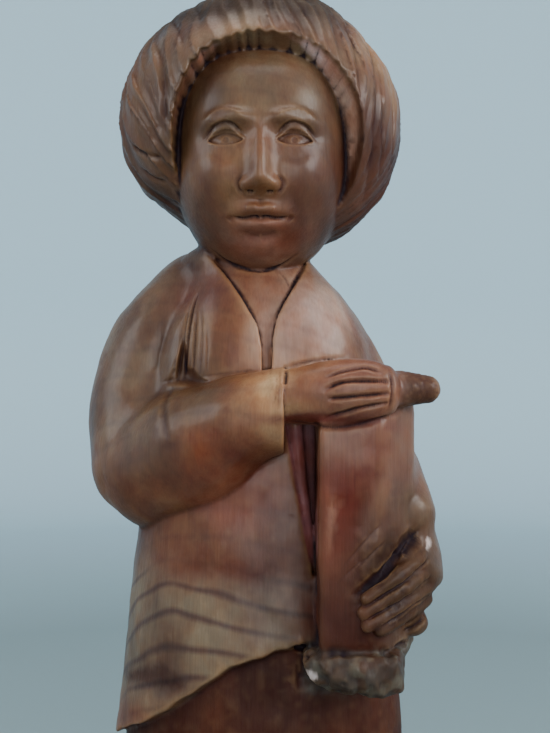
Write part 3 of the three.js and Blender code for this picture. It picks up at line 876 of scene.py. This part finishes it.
# Strokes of the face from its middle, each made again on the other side where it is off the middle
FACE_STROKES = [
    (1, 0.65, [(4.4, 5.4), (7, 8.1), (9.8, 8.7), (12.8, 7.7), (15, 5.2)]),  # over the lid
    (1.1, -0.45, [(4.7, 4.4), (7, 6.9), (9.6, 7.5), (12.4, 6.5), (14.4, 4.5)]),  # upper lid
    (1, -0.3, [(4.9, 3.2), (7.4, 1.9), (10, 1.6), (12.6, 2.4), (14.2, 3.8)]),  # lower lid
    (2.4, 0.25, [(5.6, 0.8), (9.4, -1.2), (13.4, 0.4)]),  # under the eye
    (2, -0.5, [(4, 9.8), (7.6, 11.8), (11.4, 12), (15.4, 9.6)]),  # eyebrow
    (1.3, 0.7, [(4.8, -5.2), (6.2, -7.2), (5.9, -9.2), (4.6, -10.4)]),  # round the wing of the nose
    (1, 0.8, [(1.7, -10.2), (2.7, -10), (3.6, -10.1)]),  # nostril
    (1.8, 0.35, [(0, -11.6), (0, -12.4), (0, -13.4)]),  # under the nose
    (0.9, 0.8, [(0, -16.5), (1.7, -16.2), (4.6, -16.6), (7.4, -16.2)]),  # between the lips
    (1.2, -0.25, [(0.8, -13.9), (2.2, -13.6), (4.8, -14.6), (7, -15.6)]),
    (1.6, 0.35, [(7.4, -16.2), (8.2, -16.4), (8.8, -17)]),  # corner of the mouth
    (2.4, 0.4, [(0, -21), (2.4, -20.8), (4.6, -20)]),
    (3, 0.3, [(6.8, -8.8), (9, -11.8), (10, -15.6)]),
]


def mottle(points, size, seed):
    """Smooth random values between -1 and 1 that change over a distance of size"""
    cells = 32
    lattice = np.random.default_rng(seed).uniform(-1, 1, (cells, cells, cells))
    place = points / size + 2 * cells
    cell = np.floor(place).astype(int)
    t = place - cell
    t = t * t * (3 - 2 * t)
    total = np.zeros(len(points))
    for corner in itertools.product((0, 1), repeat=3):
        share = np.prod(np.where(corner, t, 1 - t), axis=1)
        total += share * lattice[tuple(((cell + corner) % cells).T)]
    return total


def lumps(points, layers):
    """Layers of smooth random lumps, added up"""
    return sum(height * mottle(points, size, seed) for height, size, seed in layers)


def edges_of(mesh):
    """The numbers of the two points of each edge"""
    pairs = np.empty(2 * len(mesh.edges), np.int32)
    mesh.edges.foreach_get("vertices", pairs)
    return pairs.reshape(-1, 2)


def normals_of(mesh):
    """The way the surface looks at each point"""
    flat = np.empty(3 * len(mesh.vertices), np.float32)
    mesh.vertex_normals.foreach_get("vector", flat)
    return flat.reshape(-1, 3).astype(float)


def rubbed_down(points, edges, share, rounds):
    """Points moved a share of the way to the middle of their neighbours, again and again"""
    a, b = edges.T
    count = len(points)
    near = np.maximum(np.bincount(a, minlength=count) + np.bincount(b, minlength=count), 1)[:, None]
    share = np.broadcast_to(share, count)[:, None]
    for _ in range(rounds):
        total = [
            np.bincount(a, points[b, axis], count) + np.bincount(b, points[a, axis], count)
            for axis in range(3)
        ]
        points = points + share * (np.stack(total, 1) / near - points)
    return points


def rub_joints(mesh):
    """The whole block rubbed a little, and the joints between its forms much more"""
    points, edges = points_of(mesh), edges_of(mesh)
    points = rubbed_down(points, edges, 0.5, RUBBING["all over"])
    share = np.zeros(len(points))
    for x, y, z, reach, hard in RUBBED:
        away = np.linalg.norm(points - (x, y, z), axis=1) / reach
        share = np.maximum(share, RUB * hard * steps(1, 0.5, away))
    free = share > 0
    kept = edges[free[edges].any(axis=1)]
    points = rubbed_down(points, kept, np.where(free, share, 0), RUBBING["joints"])
    set_points(mesh, points)


def finer_where_close(mesh):
    """Each facet of the close work split in four"""
    points = points_of(mesh)
    inside = np.zeros(len(points), bool)
    for low, high in CLOSE_WORK:
        inside |= np.all((points > low) & (points < high), axis=1)
    bm = bmesh.new()
    bm.from_mesh(mesh)
    bm.verts.ensure_lookup_table()
    faces = {face for i in np.flatnonzero(inside) for face in bm.verts[i].link_faces}
    edges = list({edge for face in faces for edge in face.edges})
    bmesh.ops.subdivide_edges(bm, edges=edges, cuts=1, smooth=0.5, use_grid_fill=True)
    bm.to_mesh(mesh)
    bm.free()


def on_surface(path, surface):
    """A smooth path, drawn as seen from the front, laid on the surface"""
    gap, in_front = 0.35, -90
    path = np.array(path, float)
    length = np.linalg.norm(np.diff(path, axis=0), axis=1).sum()
    keys = np.arange(len(path))
    wanted = np.linspace(0, keys[-1], max(6, int(length / gap)))
    line = along(np.column_stack([keys, path]), wanted).T
    hits = [surface.ray_cast(Vector((x, in_front, z)), Vector((0, 1, 0)))[0] for x, z in line]
    return np.array([hit for hit in hits if hit is not None])


def stroke_depths(points, strokes, surface):
    """How deep the strokes cut at each point"""
    cuts = np.zeros(len(points))
    wobble = mottle(points, 2.2, 11)
    for width, depth, path in strokes:
        line = on_surface(path, surface)
        low, high = line.min(0) - width, line.max(0) + width
        near = np.flatnonzero(np.all((points > low) & (points < high), axis=1))
        if len(near) == 0:
            continue
        here = points[near]
        gaps = (here**2).sum(1)[:, None] + (line**2).sum(1)[None] - 2 * here @ line.T
        closest = gaps.argmin(1)
        away = np.sqrt(np.maximum(gaps[np.arange(len(near)), closest], 0))
        away = away / (width * (1 + 0.2 * wobble[near]))
        # a stroke runs out at both ends
        end = np.minimum(closest, len(line) - 1 - closest) / (len(line) - 1)
        made = depth * np.clip(1 - away, 0, 1) ** 1.25 * np.clip(0.3 + 4 * end, 0, 1)
        if depth > 0:
            cuts[near] = np.where(made > cuts[near], made, cuts[near])
        else:
            cuts[near] += made
    return cuts


def both_sides(strokes):
    """The strokes of the face, placed on both sides of it"""
    placed = []
    for width, depth, path in strokes:
        for side in (1, -1):
            placed.append((width, depth, [(FACE["x"] + side * x, FACE["z"] + z) for x, z in path]))
    return placed


def eye_depth(points):
    """The openings between the lids, with a ball in each"""
    x = np.abs(points[:, X] - FACE["x"]) - EYE["x"]
    z = points[:, Z] - FACE["z"] - EYE["z"]
    u = np.clip(x / EYE["half_length"], -1, 1)
    upper = EYE["above"] * (1 - u * u) ** 0.8 - 0.1
    lower = -EYE["below"] * (1 - u * u) ** 0.9 + 0.1
    opened = steps(-0.25, 0.3, upper - z) * steps(-0.25, 0.3, z - lower) * (points[:, Y] < -24)
    away = (x / EYEBALL["half_width"]) ** 2 + (z / EYEBALL["half_height"]) ** 2
    pupil = EYEBALL["pupil"] * steps(1.1, 0.6, np.hypot(x, z))
    return opened * (EYE["depth"] - EYEBALL["rise"] * np.exp(-away) + pupil)


def arm_hollow(points):
    """How deep the hollow between the right sleeve and the chest is"""
    x, y, z = points.T
    valley = VALLEY["depth"] * np.exp(-(((x - VALLEY["x"]) / VALLEY["half_width"]) ** 2))
    scratched = 0.6 * mottle(points * (1, 1, 0.12), 1.3, 14)
    heights, middles, half_widths = zip(*POCKET)
    away = np.abs(x - np.interp(z, heights, middles) + scratched) / np.interp(z, heights, half_widths)
    pocket = (2.4 + 1.6 * scratched) * steps(1.7, 0.2, away) * region(points, POCKET_EDGES)
    return (valley * region(points, VALLEY["edges"]) + pocket) * steps(-8, -12, y)


def worked_surface(points):
    """How far the surface stands out where a hand left it uneven, torn or pitted"""
    uneven = lumps(points, UNEVEN)
    uneven *= (1 - 0.75 * inside_opening(points)) * steps(0.2, 1.4, points[:, Z])
    torn = lumps(points * (1, 1, 0.7), TORN_LUMPS) - 0.5 * steps(0.45, 0.8, mottle(points, 2.4, 9))
    pitted = 0.12 * mottle(points, 0.9, 6) - uneven
    rough = 0.22 * mottle(points, 2.1, 8)
    places = [(TORN, torn), (PITTED, pitted), (ROUGH_HAND, rough)]
    return uneven + sum(region(points, place) * relief for place, relief in places)


def hand_carve(mesh):
    """The worked surface, the eyes and all strokes made in the mesh. Gives how deep the cuts are"""
    points, normals = points_of(mesh), normals_of(mesh)
    surface = BVHTree.FromPolygons(*polygons_of(mesh))
    eyes = eye_depth(points)
    cuts = stroke_depths(points, STROKES + both_sides(FACE_STROKES), surface)
    points = points + normals * worked_surface(points)[:, None]
    points = points - normals * cuts[:, None]
    points[:, Y] += eyes + arm_hollow(points)
    underside = 0.6  # what lies lower than this is flat on the ground
    points[:, Z] = np.where(points[:, Z] < underside, 0, points[:, Z])
    set_points(mesh, points)
    # the eyes and the pocket under the right arm count as cuts, so painted shade darkens these recesses too
    return np.maximum(cuts, 0) + 0.4 * eyes + 0.16 * arm_hollow(points)


def face_reach(points, inset=0):
    """How far each point is from the middle of the face, seen from the front, with its outline at 1"""
    x, y, z = points.T
    across = (x - FACE["x"]) / (FACE["half_width"] - inset)
    return np.hypot(across, (z - FACE_OVAL["z"]) / FACE_OVAL["half_height"])


def inside_opening(points):
    """1 on the face and 0 on the hair round it"""
    return steps(1.02, 0.96, face_reach(points, 0.5)) * (points[:, Y] < -12)


def polygons_of(mesh):
    """The points of a mesh and the numbers of the points round each face, as lists"""
    corners = np.empty(len(mesh.loops), np.int32)
    starts = np.empty(len(mesh.polygons), np.int32)
    mesh.loops.foreach_get("vertex_index", corners)
    mesh.polygons.foreach_get("loop_start", starts)
    return points_of(mesh).tolist(), [part.tolist() for part in np.split(corners, starts[1:])]


def hollows(mesh):
    """How far each point lies below the surface round it, near and further off"""
    points, normals, edges = points_of(mesh), normals_of(mesh), edges_of(mesh)
    near_rounds, far_rounds = 6, 60
    close = rubbed_down(points, edges, RUB, near_rounds)
    wide = rubbed_down(close, edges, RUB, far_rounds)
    near = ((close - points) * normals).sum(1)
    far = ((wide - points) * normals).sum(1)
    return near, far


def thinned(obj):
    """The object with its facets joined where the surface is nearly flat"""
    triangle_count = len(obj.data.loops) - 2 * len(obj.data.polygons)
    thin = obj.modifiers.new("thin", "DECIMATE")
    thin.ratio = MOST_TRIANGLES / triangle_count
    return finished(obj)


# Stains of the varnished wood, with painted light and shade where noted at a patch, each a soft patch over
# those before it: its middle and its reach in x, y and z, and its colour
ALL_OVER = "#64442a"
STAINS_AND_PAINTED_LIGHT = [
    ((0, 0, 100), (200, 200, 60), "#65594b"),  # tan wood of the hips
    ((-10, -30, 143), (26, 30, 9), "#4d261d"),  # a redder layer over them
    ((0, 0, 160), (200, 200, 14), "#603f2f"),
    ((-34, -14, 92), (18, 22, 7), "#6b4632"),
    ((-30, -22, 105.5), (13, 20, 2), "#43302a"),
    ((-8, -25, 205), (12, 20, 22), "#744715"),  # orange chest
    # paler, greyer patch on the figure's left chest: its stain, and partly a painted sheen where the
    # window's highlight falls
    ((14, -25, 205), (12, 20, 22), "#a08883"),
    ((-34, 0, 190), (17, 60, 34), "#5d4b3b"),  # the sleeve
    ((-28, -20, 154), (20, 30, 13), "#5e3a24"),
    ((-12, -30, 172), (10, 20, 12), "#683315"),
    ((-22, -30, 184), (14, 20, 8), "#503a24"),
    ((38, 0, 175), (12, 40, 36), "#75563d"),
    ((23, -40, 176), (9.5, 14, 9), "#4e1a0e"),
    ((23, -40, 158), (9.5, 14, 24), "#511b0f"),  # front of the bundle
    ((22, -40, 126), (14, 14, 18), "#4d2a20"),
    ((17.8, -42, 154), (1, 12, 6), "#6e4029"),
    ((34.5, -40, 150), (3.6, 12, 12), "#7d5b40"),
    ((37, -36, 168), (5, 20, 16), "#5e4135"),
    ((10, -38, 186), (13, 14, 12), "#9e8161"),  # hands
    ((26, -40, 187), (14, 14, 9), "#7b5648"),
    ((42, -37, 187), (5, 12, 7), "#4a3126"),
    ((39, -38, 136), (13, 20, 15), "#3a281e"),
    # painted shade: a darker patch that dulls the light on the bump of the left wrist
    ((43, -32, 154), (6, 9, 6), "#54402f"),
    # painted shadow: a dark red-brown band under the right hand, across the top of the bundle
    ((18, -40, 176.8), (15, 9, 1.3), "#5c2a20"),
    ((-14, -14, 217), (9, 12, 6), "#5f3122"),
    ((-4, -28, 160), (12, 10, 9), "#70402f"),
    ((1.5, -25, 212), (5, 9, 14), "#88695c"),  # shirt
    ((0, 0, 268), (60, 60, 34), "#56432f"),  # hair
    ((-34, -16, 268), (12, 30, 22), "#5b3c20"),
    # painted shade: the crown is darker, which tones down the light and sheen from above
    ((0, -6, 300), (60, 60, 14), "#34291e"),
    # paler patch on the upper left side of the hair, where the window lights its ridges: partly a painted
    # highlight
    ((32, -16, 276), (9, 24, 18), "#8e7358"),
    # darker round the bottom of the hair and below it on the figure's left: painted shade under the bob,
    # partly the wood's own red-brown
    ((0, 0, 236), (60, 60, 12), "#432c22"),
    ((30, -20, 248), (12, 40, 22), "#452a23"),
    # painted light: a paler patch at the top of the forehead, in the shade of the fringe
    ((0, -30, 280), (22, 16, 7), "#7d6a57"),
    ((0, -38, 266), (21, 22, 15), "#574735"),  # the face
    # painted light: the lower face is paler towards the chin, against the shade that the lamps above leave
    # there
    ((0, -38, 243), (21, 22, 15), "#64452c"),
    ((0, -38, 226), (14, 22, 7), "#80584c"),
]
# painted light: the wall round the face keeps its purple-brown but is painted much paler, since it faces
# down into shade, and palest over the forehead
FRINGE_PAINTED_LIGHT = "#b0928a"
TEMPLE_STAIN = "#574a3f"
FRINGE_TOP_PAINTED_LIGHT = "#f4e2ee"
SLOT_STAIN = "#8d6575"
ROBE_STAIN = "#40231a"
BUNCH_STAIN = "#3f3d3d"
BUNCH_BROWN = "#42332b"
BUNCH_DUST = "#5b5d58"
# the bluish white of the painted glints
GLINT_WHITE = "#bab5bd"
# Regions with a finish of their own: the bundle, the bunched edge under it and the slot beside it
BUNDLE_FRONT = [(X, 13.5, 15.2), (Y, -8, -16), (Z, 104, 106), (Z, 181, 178)]
BUNCH_FRONT = [(Z, 119.5, 117.5), (Z, 102, 105), (X, 11, 12.6), (Y, -8, -13)]
SLOT_INSIDE = [(X, 15.2, 14.8), (Z, 138, 141), (Z, 178, 176.5)]
# Two small bluish-white spots painted as glints, painted highlights on the bunched edge and on the back of
# the left hand: the middle and the reach of each
PAINTED_GLINTS = [((13.6, -38, 111.8), (1.7, 6, 1.5)), ((45.4, -28, 144.8), (0.8, 6, 2.2))]


def linear(colour):
    """The red, green and blue of a colour written in sRGB, for light to be reckoned with"""
    parts = [int(colour[i : i + 2], 16) / 255 for i in (1, 3, 5)]
    return [part / 12.92 if part <= 0.04045 else ((part + 0.055) / 1.055) ** 2.4 for part in parts]


def round_opening(points):
    """The angle of each point round the middle of the opening, seen from the front"""
    return np.arctan2(points[:, Z] - OPENING["z"], points[:, X] - OPENING["x"])


def on_opening_wall(points):
    """1 on the wall cut round the face"""
    x, y, z = points.T
    angle = round_opening(points)
    level = np.hypot(x - OPENING["x"], z - OPENING["z"]) / opening_reach(angle)
    away = np.hypot(level, (y - OPENING["y"]) / opening_depth(angle)) - 1
    share = steps(-0.06, -0.03, away) * steps(0.13, 0.06, away) * (1 - inside_opening(points))
    depth = np.linalg.norm((points - HAIR_MIDDLE) / HAIR_BALL, axis=1)
    return share * steps(0.97, 0.9, depth) * steps(230, 233, z) * (y < -8)


def in_slot(points):
    """1 in the slot between the coat and the bundle, and on the ridge in it"""
    x, y, z = points.T
    (top_x, top_z), (foot_x, foot_z) = SLOT_OUTLINE[0], SLOT_OUTLINE[-1]
    past_coat = x - np.interp(z, [foot_z, top_z], [foot_x, top_x])
    return steps(-0.5, 0.1, past_coat) * region(points, SLOT_INSIDE) * (y < -10)


def wood_colour_and_painted_light(points):
    """The colour of the wood at each point: its stains, with painted light and shade in places and two
    painted glints
    """
    x, y, z = points.T
    # the edges of the patches wander, and each is full over its middle
    spots = points + 4 * np.stack([mottle(points, 14, seed) for seed in (21, 22, 23)], 1)
    layers = []
    for middle, reach, hue in STAINS_AND_PAINTED_LIGHT:
        layers.append((1.5 * np.exp(-(((spots - middle) / reach) ** 2).sum(1)), hue))
    wall, bunch = on_opening_wall(points), region(points, BUNCH_FRONT)
    glint_spots = [np.linalg.norm((points - middle) / reach, axis=1) for middle, reach in PAINTED_GLINTS]
    layers += [
        ((hem_height(np.arctan2(y, x)) - z + 0.6) / 1.2, ROBE_STAIN),
        # painted light on the wall round the face, palest over the forehead
        (wall, FRINGE_PAINTED_LIGHT),
        (wall * steps(0, -8, x), TEMPLE_STAIN),
        (wall * steps(270, 281, z) * steps(24, 16, np.abs(x)), FRINGE_TOP_PAINTED_LIGHT),
        (in_slot(points), SLOT_STAIN),
        (bunch, BUNCH_STAIN),
        (0.8 * bunch * steps(0, 0.4, mottle(points, 2.4, 24)), BUNCH_BROWN),
        (0.7 * bunch * steps(0.1, 0.5, mottle(points, 1.8, 25)), BUNCH_DUST),
        # painted highlights: two small glints
        (steps(1.1, 0.8, np.minimum.reduce(glint_spots)), GLINT_WHITE),
    ]
    colour = np.tile(linear(ALL_OVER), (len(points), 1))
    for share, hue in layers:
        colour += np.clip(share, 0, 1)[:, None] * (np.array(linear(hue)) - colour)
    return colour


# Where the growth rings show plainly, and where they fade
RINGS_SHOW = [(Z, 137, 132), (Z, 94, 104)]
RINGS_FADE = [(X, -8, 8), (Z, 124, 118), (Y, 0, -10)]
# The growth rings: how far apart they are, how they fall to the figure's left and to its back for each
# millimetre, and the height of one in the middle
RING = {"spacing": 8.3, "to_left": 0.24, "to_back": 0.85, "height": 103.6}


def ring_number(points):
    """Which growth ring each point lies in, with the dark late wood half way through it"""
    x, y, z = points.T
    level = z + RING["to_left"] * x + RING["to_back"] * y + lumps(points, RING_BENDS) - RING["height"]
    return level / RING["spacing"] + 0.5


def ring_strength(points):
    """How clearly the growth rings show: plain on the hips, faint elsewhere, none on the bundle and robe"""
    x, y, z = points.T
    clear = 0.2 + 0.8 * region(points, RINGS_SHOW)
    clear *= (1 - 0.65 * region(points, RINGS_FADE)) * (1 - 0.5 * steps(-10, 12, y))
    clear *= steps(0, 2, z - hem_height(np.arctan2(y, x))) * (1 - region(points, BUNDLE_FRONT))
    above_coat = steps(228, 234, z) * (1 - inside_opening(points))
    return clear * (1 - 0.8 * above_coat)


def on_hair(points):
    """1 on the outside of the hair"""
    away = np.linalg.norm(points - HAIR_MIDDLE, axis=1)
    outside = steps(34, 36, away) * steps(228, 231, points[:, Z])
    return outside * (1 - inside_opening(points)) * (1 - on_opening_wall(points))


def hair_flute_darkening(points):
    """Darker colour in the hollows and partings of the hair's flutes and between the locks of the fringe"""
    x, y, z = (points - HAIR_MIDDLE).T
    back, up = tipped(y, z, CROWN_TILT)
    size = np.sqrt(x * x + back * back + up * up)
    hollow, parting = flute_cut(np.arctan2(back, x), up / size)
    flutes = 0.4 * np.clip(hollow - 0.5, 0, 1) + 0.6 * parting
    nicks = (fringe_nick(round_opening(points)) / FRINGE["depth"]) ** 2.4
    return on_hair(points) * flutes + 0.9 * on_opening_wall(points) * nicks


def hairline(points, far):
    """1 along the crease between the face and the hair, where painted shade darkens it. far is how deep a
    point lies in a wide hollow
    """
    x, y, z = points.T
    reach = face_reach(points)
    by_the_edge = steps(0.78, 0.84, reach) * steps(1.08, 1.02, reach) * (y < -9) * steps(231, 236, z)
    return by_the_edge * steps(0.12, 0.4, far) * (1 - 0.4 * steps(10, 20, x))


def cut_darkening_and_hollow_shade(points, cut, near, far):
    """Darkening in the cuts and small hollows; painted shade, thinner, in wide hollows and in the crease
    round the face; and the darkening in the hair's flutes
    """
    wall = on_opening_wall(points)
    # darker in the cuts and in small hollows
    cut_darkening_and_shade = 0.85 * np.clip(cut / 1.1, 0, 1) ** 1.4 + 2.4 * np.clip(near - 0.03, 0, 1)
    cut_darkening_and_shade *= 1 - np.maximum(0.7 * wall, 0.55 * on_hair(points))
    # painted shade, thinner, in the wide hollows
    cut_darkening_and_shade += 0.35 * (1 - wall) * np.clip(far - 0.15, 0, 1.4)
    return np.clip(cut_darkening_and_shade + hair_flute_darkening(points) + hairline(points, far), 0, 1)


def varnish_left(points, colour):
    """How much of the varnish's shine there is. Thick dark stain is dull, and takes little of it"""
    brightness = colour @ (0.21, 0.72, 0.07)
    dull = (1 - 0.8 * in_slot(points)) * (1 - 0.6 * region(points, BUNCH_FRONT))
    return steps(0.008, 0.07, brightness) * dull


def rubbed_bare(points, near):
    """1 on the edges that hands have rubbed, which stand out of the surface round them"""
    sheltered = [
        0.8 * region(points, BUNCH_FRONT),
        0.9 * on_hair(points),
        in_slot(points),
        0.8 * region(points, BUNDLE_FRONT) * steps(26, 22, points[:, X]),
    ]
    return np.clip(-near * 9, 0, 1) * (1 - np.maximum.reduce(sheltered))


def nearest(points, others):
    """Which of the other points is nearest to each point"""
    tree = KDTree(len(others))
    for i, other in enumerate(others.tolist()):
        tree.insert(other, i)
    tree.balance()
    return [tree.find(point)[1] for point in points.tolist()]


def painted(mesh, carved_points, relief):
    """The colour with its painted light and shade, the darkening in the cuts with painted shade in the
    hollows, the wear and the growth rings, kept on the thinned mesh. relief is how deep the cuts and the
    near and far hollows were at the points of the mesh before it was thinned"""
    points = points_of(mesh)
    cut, near, far = relief[nearest(points, carved_points)].T
    colour = wood_colour_and_painted_light(points)
    layers = {
        # the darkening in the cuts, and painted shade in the hollows
        "cut_darkening_and_shade": cut_darkening_and_hollow_shade(points, cut, near, far),
        "worn": rubbed_bare(points, near),
        "gloss": varnish_left(points, colour),
        "year": ring_number(points),
        "rings": ring_strength(points),
    }
    for name, values in layers.items():
        layer = mesh.attributes.new(name, "FLOAT", "POINT")
        layer.data.foreach_set("value", values.astype(np.float32))
    # the colour kept on the mesh holds the stains and the painted light and shade
    stain_and_painted_light = mesh.attributes.new("stain_and_painted_light", "FLOAT_COLOR", "POINT")
    opaque = np.column_stack([colour, np.ones(len(points))])
    stain_and_painted_light.data.foreach_set("color", opaque.astype(np.float32).ravel())


def add(tree, kind, sockets=None, **settings):
    """One node of a material: its settings, and for each socket a link or a value"""
    made = tree.nodes.new(kind)
    for name, value in settings.items():
        setattr(made, name, value)
    for key, value in (sockets or {}).items():
        if isinstance(value, bpy.types.NodeSocket):
            tree.links.new(value, made.inputs[key])
        else:
            made.inputs[key].default_value = value
    return made


def ramp(tree, value, low, high, least=0, most=1):
    """A value that goes from least to most while the one it follows goes from low to high"""
    sockets = {"Value": value, "From Min": low, "From Max": high, "To Min": least, "To Max": most}
    return add(tree, "ShaderNodeMapRange", sockets).outputs[0]


def blend(tree, share, under, over, laid="MIX"):
    """A colour with another over it. laid is how it is laid on"""
    sockets = {0: share, 6: under, 7: (*linear(over), 1)}
    return add(tree, "ShaderNodeMix", sockets, data_type="RGBA", blend_type=laid).outputs[2]


# Grain of the wood, each drawn as a cloud: its size across and up the trunk in millimetres, and its detail
GRAIN = {
    "fibres": (0.5, 16, 3),
    "streaks": (2.6, 44, 2),
    "blotches": (5, 7, 2),
    "patches": (16, 30, 3),
    "specks": (0.7, 1.4, 2),
}
# Layers of colour over the stain: what each one follows, from and to, how strong it gets, its colour, and
# how it is laid on
LAYERS = [
    ("patches", 0.36, 0.66, 1, "#cda183", "MULTIPLY"),
    ("patches", 0.7, 0.3, 0.5, "#ffe6bd", "SOFT_LIGHT"),
    ("blotches", 0.42, 0.66, 0.5, "#d8a878", "MULTIPLY"),
    ("blotches", 0.58, 0.36, 0.3, "#b0b6b4", "MULTIPLY"),
    ("fibres", 0.35, 0.7, 0.22, "#a08474", "MULTIPLY"),
    ("streaks", 0.4, 0.68, 0.15, "#ab8674", "MULTIPLY"),
    ("late", 0, 1, 0.85, "#a67f88", "MULTIPLY"),
    ("worn", 0, 1, 0.14, "#c79a6a", "MIX"),
    # the darkening in the cuts and the painted shade in the hollows
    ("speckled_darkening_and_shade", 0, 0.9, 1, "#20151a", "MIX"),
]


def varnished_pine():
    """Pine, cut with knife and gouge, then coloured with wood dye and varnished by hand: it shows fine
    upright fibres, broad purple rings, black in the cuts, painted shade in the hollows and a satin sheen"""
    wood = bpy.data.materials.new("varnished_pine")
    wood.use_nodes = True
    tree = wood.node_tree
    place = add(tree, "ShaderNodeTexCoord").outputs["Object"]
    follow = {}
    for name in ("cut_darkening_and_shade", "worn", "gloss", "year", "rings"):
        follow[name] = add(tree, "ShaderNodeAttribute", attribute_name=name).outputs["Fac"]
    for name, (across, upright, detail) in GRAIN.items():
        scale = [1 / (size * MM) for size in (across, across, upright)]
        spot = add(tree, "ShaderNodeVectorMath", {0: place, 1: scale}, operation="MULTIPLY").outputs[0]
        cloud = add(tree, "ShaderNodeTexNoise", {"Vector": spot, "Scale": 1.0, "Detail": detail})
        follow[name] = cloud.outputs["Fac"]

    # each year's ring darkens slowly to its late wood and ends sharply
    part = add(tree, "ShaderNodeMath", {0: follow["year"]}, operation="FRACT").outputs[0]
    dark = ramp(tree, part, 0.3, 0.47, most=follow["rings"])
    follow["late"] = ramp(tree, part, 0.68, 0.53, most=dark)
    # the darkening in the cuts and the painted shade are speckled
    patchy = ramp(tree, follow["specks"], 0.25, 0.6, least=0.7)
    speckled_darkening_and_shade = add(tree, "ShaderNodeMath", {0: follow["cut_darkening_and_shade"], 1: patchy}, operation="MULTIPLY").outputs[0]
    follow["speckled_darkening_and_shade"] = speckled_darkening_and_shade

    colour = add(tree, "ShaderNodeAttribute", attribute_name="stain_and_painted_light").outputs["Color"]
    for name, low, high, strong, hue, laid in LAYERS:
        share = ramp(tree, follow[name], low, high, most=strong)
        colour = blend(tree, share, colour, hue, laid)

    # varnish shows only where neither darkening nor painted shade lies
    varnish = ramp(tree, speckled_darkening_and_shade, 0.6, 0, most=follow["gloss"])
    height = add(tree, "ShaderNodeMath", {0: follow["fibres"], 1: follow["specks"]}, operation="ADD")
    relief = {"Height": height.outputs[0], "Strength": 0.3, "Distance": 0.2 * MM}
    ends = {
        "Base Color": colour,
        "Roughness": ramp(tree, follow["fibres"], 0.3, 0.7, least=0.48, most=0.64),
        "Coat Weight": add(tree, "ShaderNodeMath", {0: varnish, 1: 0.32}, operation="MULTIPLY").outputs[0],
        "Specular IOR Level": ramp(tree, varnish, 0, 1, least=0.08, most=0.25),
        "Normal": add(tree, "ShaderNodeBump", relief).outputs[0],
    }
    shader = tree.nodes["Principled BSDF"]
    for name, source in ends.items():
        tree.links.new(source, shader.inputs[name])
    shader.inputs["Coat Roughness"].default_value = 0.25
    return wood


block = figure_block()
rub_joints(block.data)
finer_where_close(block.data)
cuts = hand_carve(block.data)
relief = np.column_stack([cuts, *hollows(block.data)])
carved_points = points_of(block.data)
thinned(block)
painted(block.data, carved_points, relief)
set_points(block.data, points_of(block.data) + (0, BODY_BEHIND_BASE, 0))
block.data.materials.append(varnished_pine())
smooth(block)

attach(block, "root")
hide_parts("carved_figure")


# The camera looks straight at the figure's chest, from a third of a metre in front of it
CAMERA = {"x": 3.9, "y": -330 + BODY_BEHIND_BASE, "z": 193.2, "lens": 54.02}
camera = bpy.data.objects.new("camera", bpy.data.cameras.new("camera"))
bpy.context.scene.collection.objects.link(camera)
camera.location = Vector((CAMERA["x"], CAMERA["y"], CAMERA["z"])) * MM
camera.rotation_euler = (math.radians(90), 0, 0)
camera.data.lens = CAMERA["lens"]
camera.data.clip_start = 0.01
bpy.context.scene.camera = camera

# A pale bowl, in metres: the floor is flat to its middle ring, then curves up into the wall all round
BOWL = {"radius": 1.3, "cove": 0.3, "height": 1.8, "middle_ring": 0.3}


def bowl():
    """The floor and the wall round the figure"""
    centre = BOWL["radius"] - BOWL["cove"]
    bends = [math.radians(a) for a in range(-90, 1, 6)]
    curve = [(centre + BOWL["cove"] * math.cos(a), BOWL["cove"] * (1 + math.sin(a))) for a in bends]
    profile = [(0, 0), (BOWL["middle_ring"], 0), *curve, (BOWL["radius"], BOWL["height"])]
    bm = spun(profile, around=96)
    bmesh.ops.reverse_faces(bm, faces=bm.faces)
    return smooth(shaped("studio floor", bm))


def pale_paper():
    """Matt blue-grey paper, uncoated, so it has no shine. It is darker near the figure, painted shade for
    the light falling off towards the floor
    """
    paper = bpy.data.materials.new("pale_paper")
    paper.use_nodes = True
    tree = paper.node_tree
    shader = tree.nodes["Principled BSDF"]
    place = add(tree, "ShaderNodeTexCoord").outputs["Object"]
    away = add(tree, "ShaderNodeVectorMath", {0: place}, operation="LENGTH").outputs["Value"]
    # painted shade: the paper darkens towards the middle of the floor and is pale up the wall
    tone = blend(tree, ramp(tree, away, 0.5, 1.35), (*linear("#74868a"), 1), "#c2dae6")
    tree.links.new(tone, shader.inputs["Base Color"])
    shader.inputs["Roughness"].default_value = 0.9
    return paper


floor = bowl()
floor.data.materials.append(pale_paper())


def lamp(name, place, size, watts, colour):
    """A round soft lamp, in metres, that points at the figure's chest"""
    light = bpy.data.lights.new(name, "AREA")
    light.shape = "DISK"
    light.size = size
    light.energy = watts
    light.color = colour
    made = bpy.data.objects.new(name, light)
    bpy.context.scene.collection.objects.link(made)
    made.location = place
    aim = Vector((0, 0, 0.2)) - Vector(place)
    made.rotation_euler = aim.to_track_quat("-Z", "Y").to_euler()


lamp("ceiling", (0.0, -0.1, 1.3), size=0.9, watts=7.6, colour=(1, 0.99, 0.97))
lamp("window", (0.8, -0.42, 0.62), size=0.6, watts=9, colour=(1, 0.99, 0.98))
lamp("far wall", (-0.85, -0.3, 0.6), size=0.6, watts=4, colour=(0.98, 0.99, 1))
lamp("room", (0.1, -1.0, 0.42), size=0.8, watts=5.6, colour=(1, 0.98, 0.96))
world = bpy.data.worlds.new("room")
world.use_nodes = True
sky = world.node_tree.nodes["Background"]
sky.inputs["Color"].default_value = (*linear("#fffcf6"), 1)
sky.inputs["Strength"].default_value = 0.67
bpy.context.scene.world = world
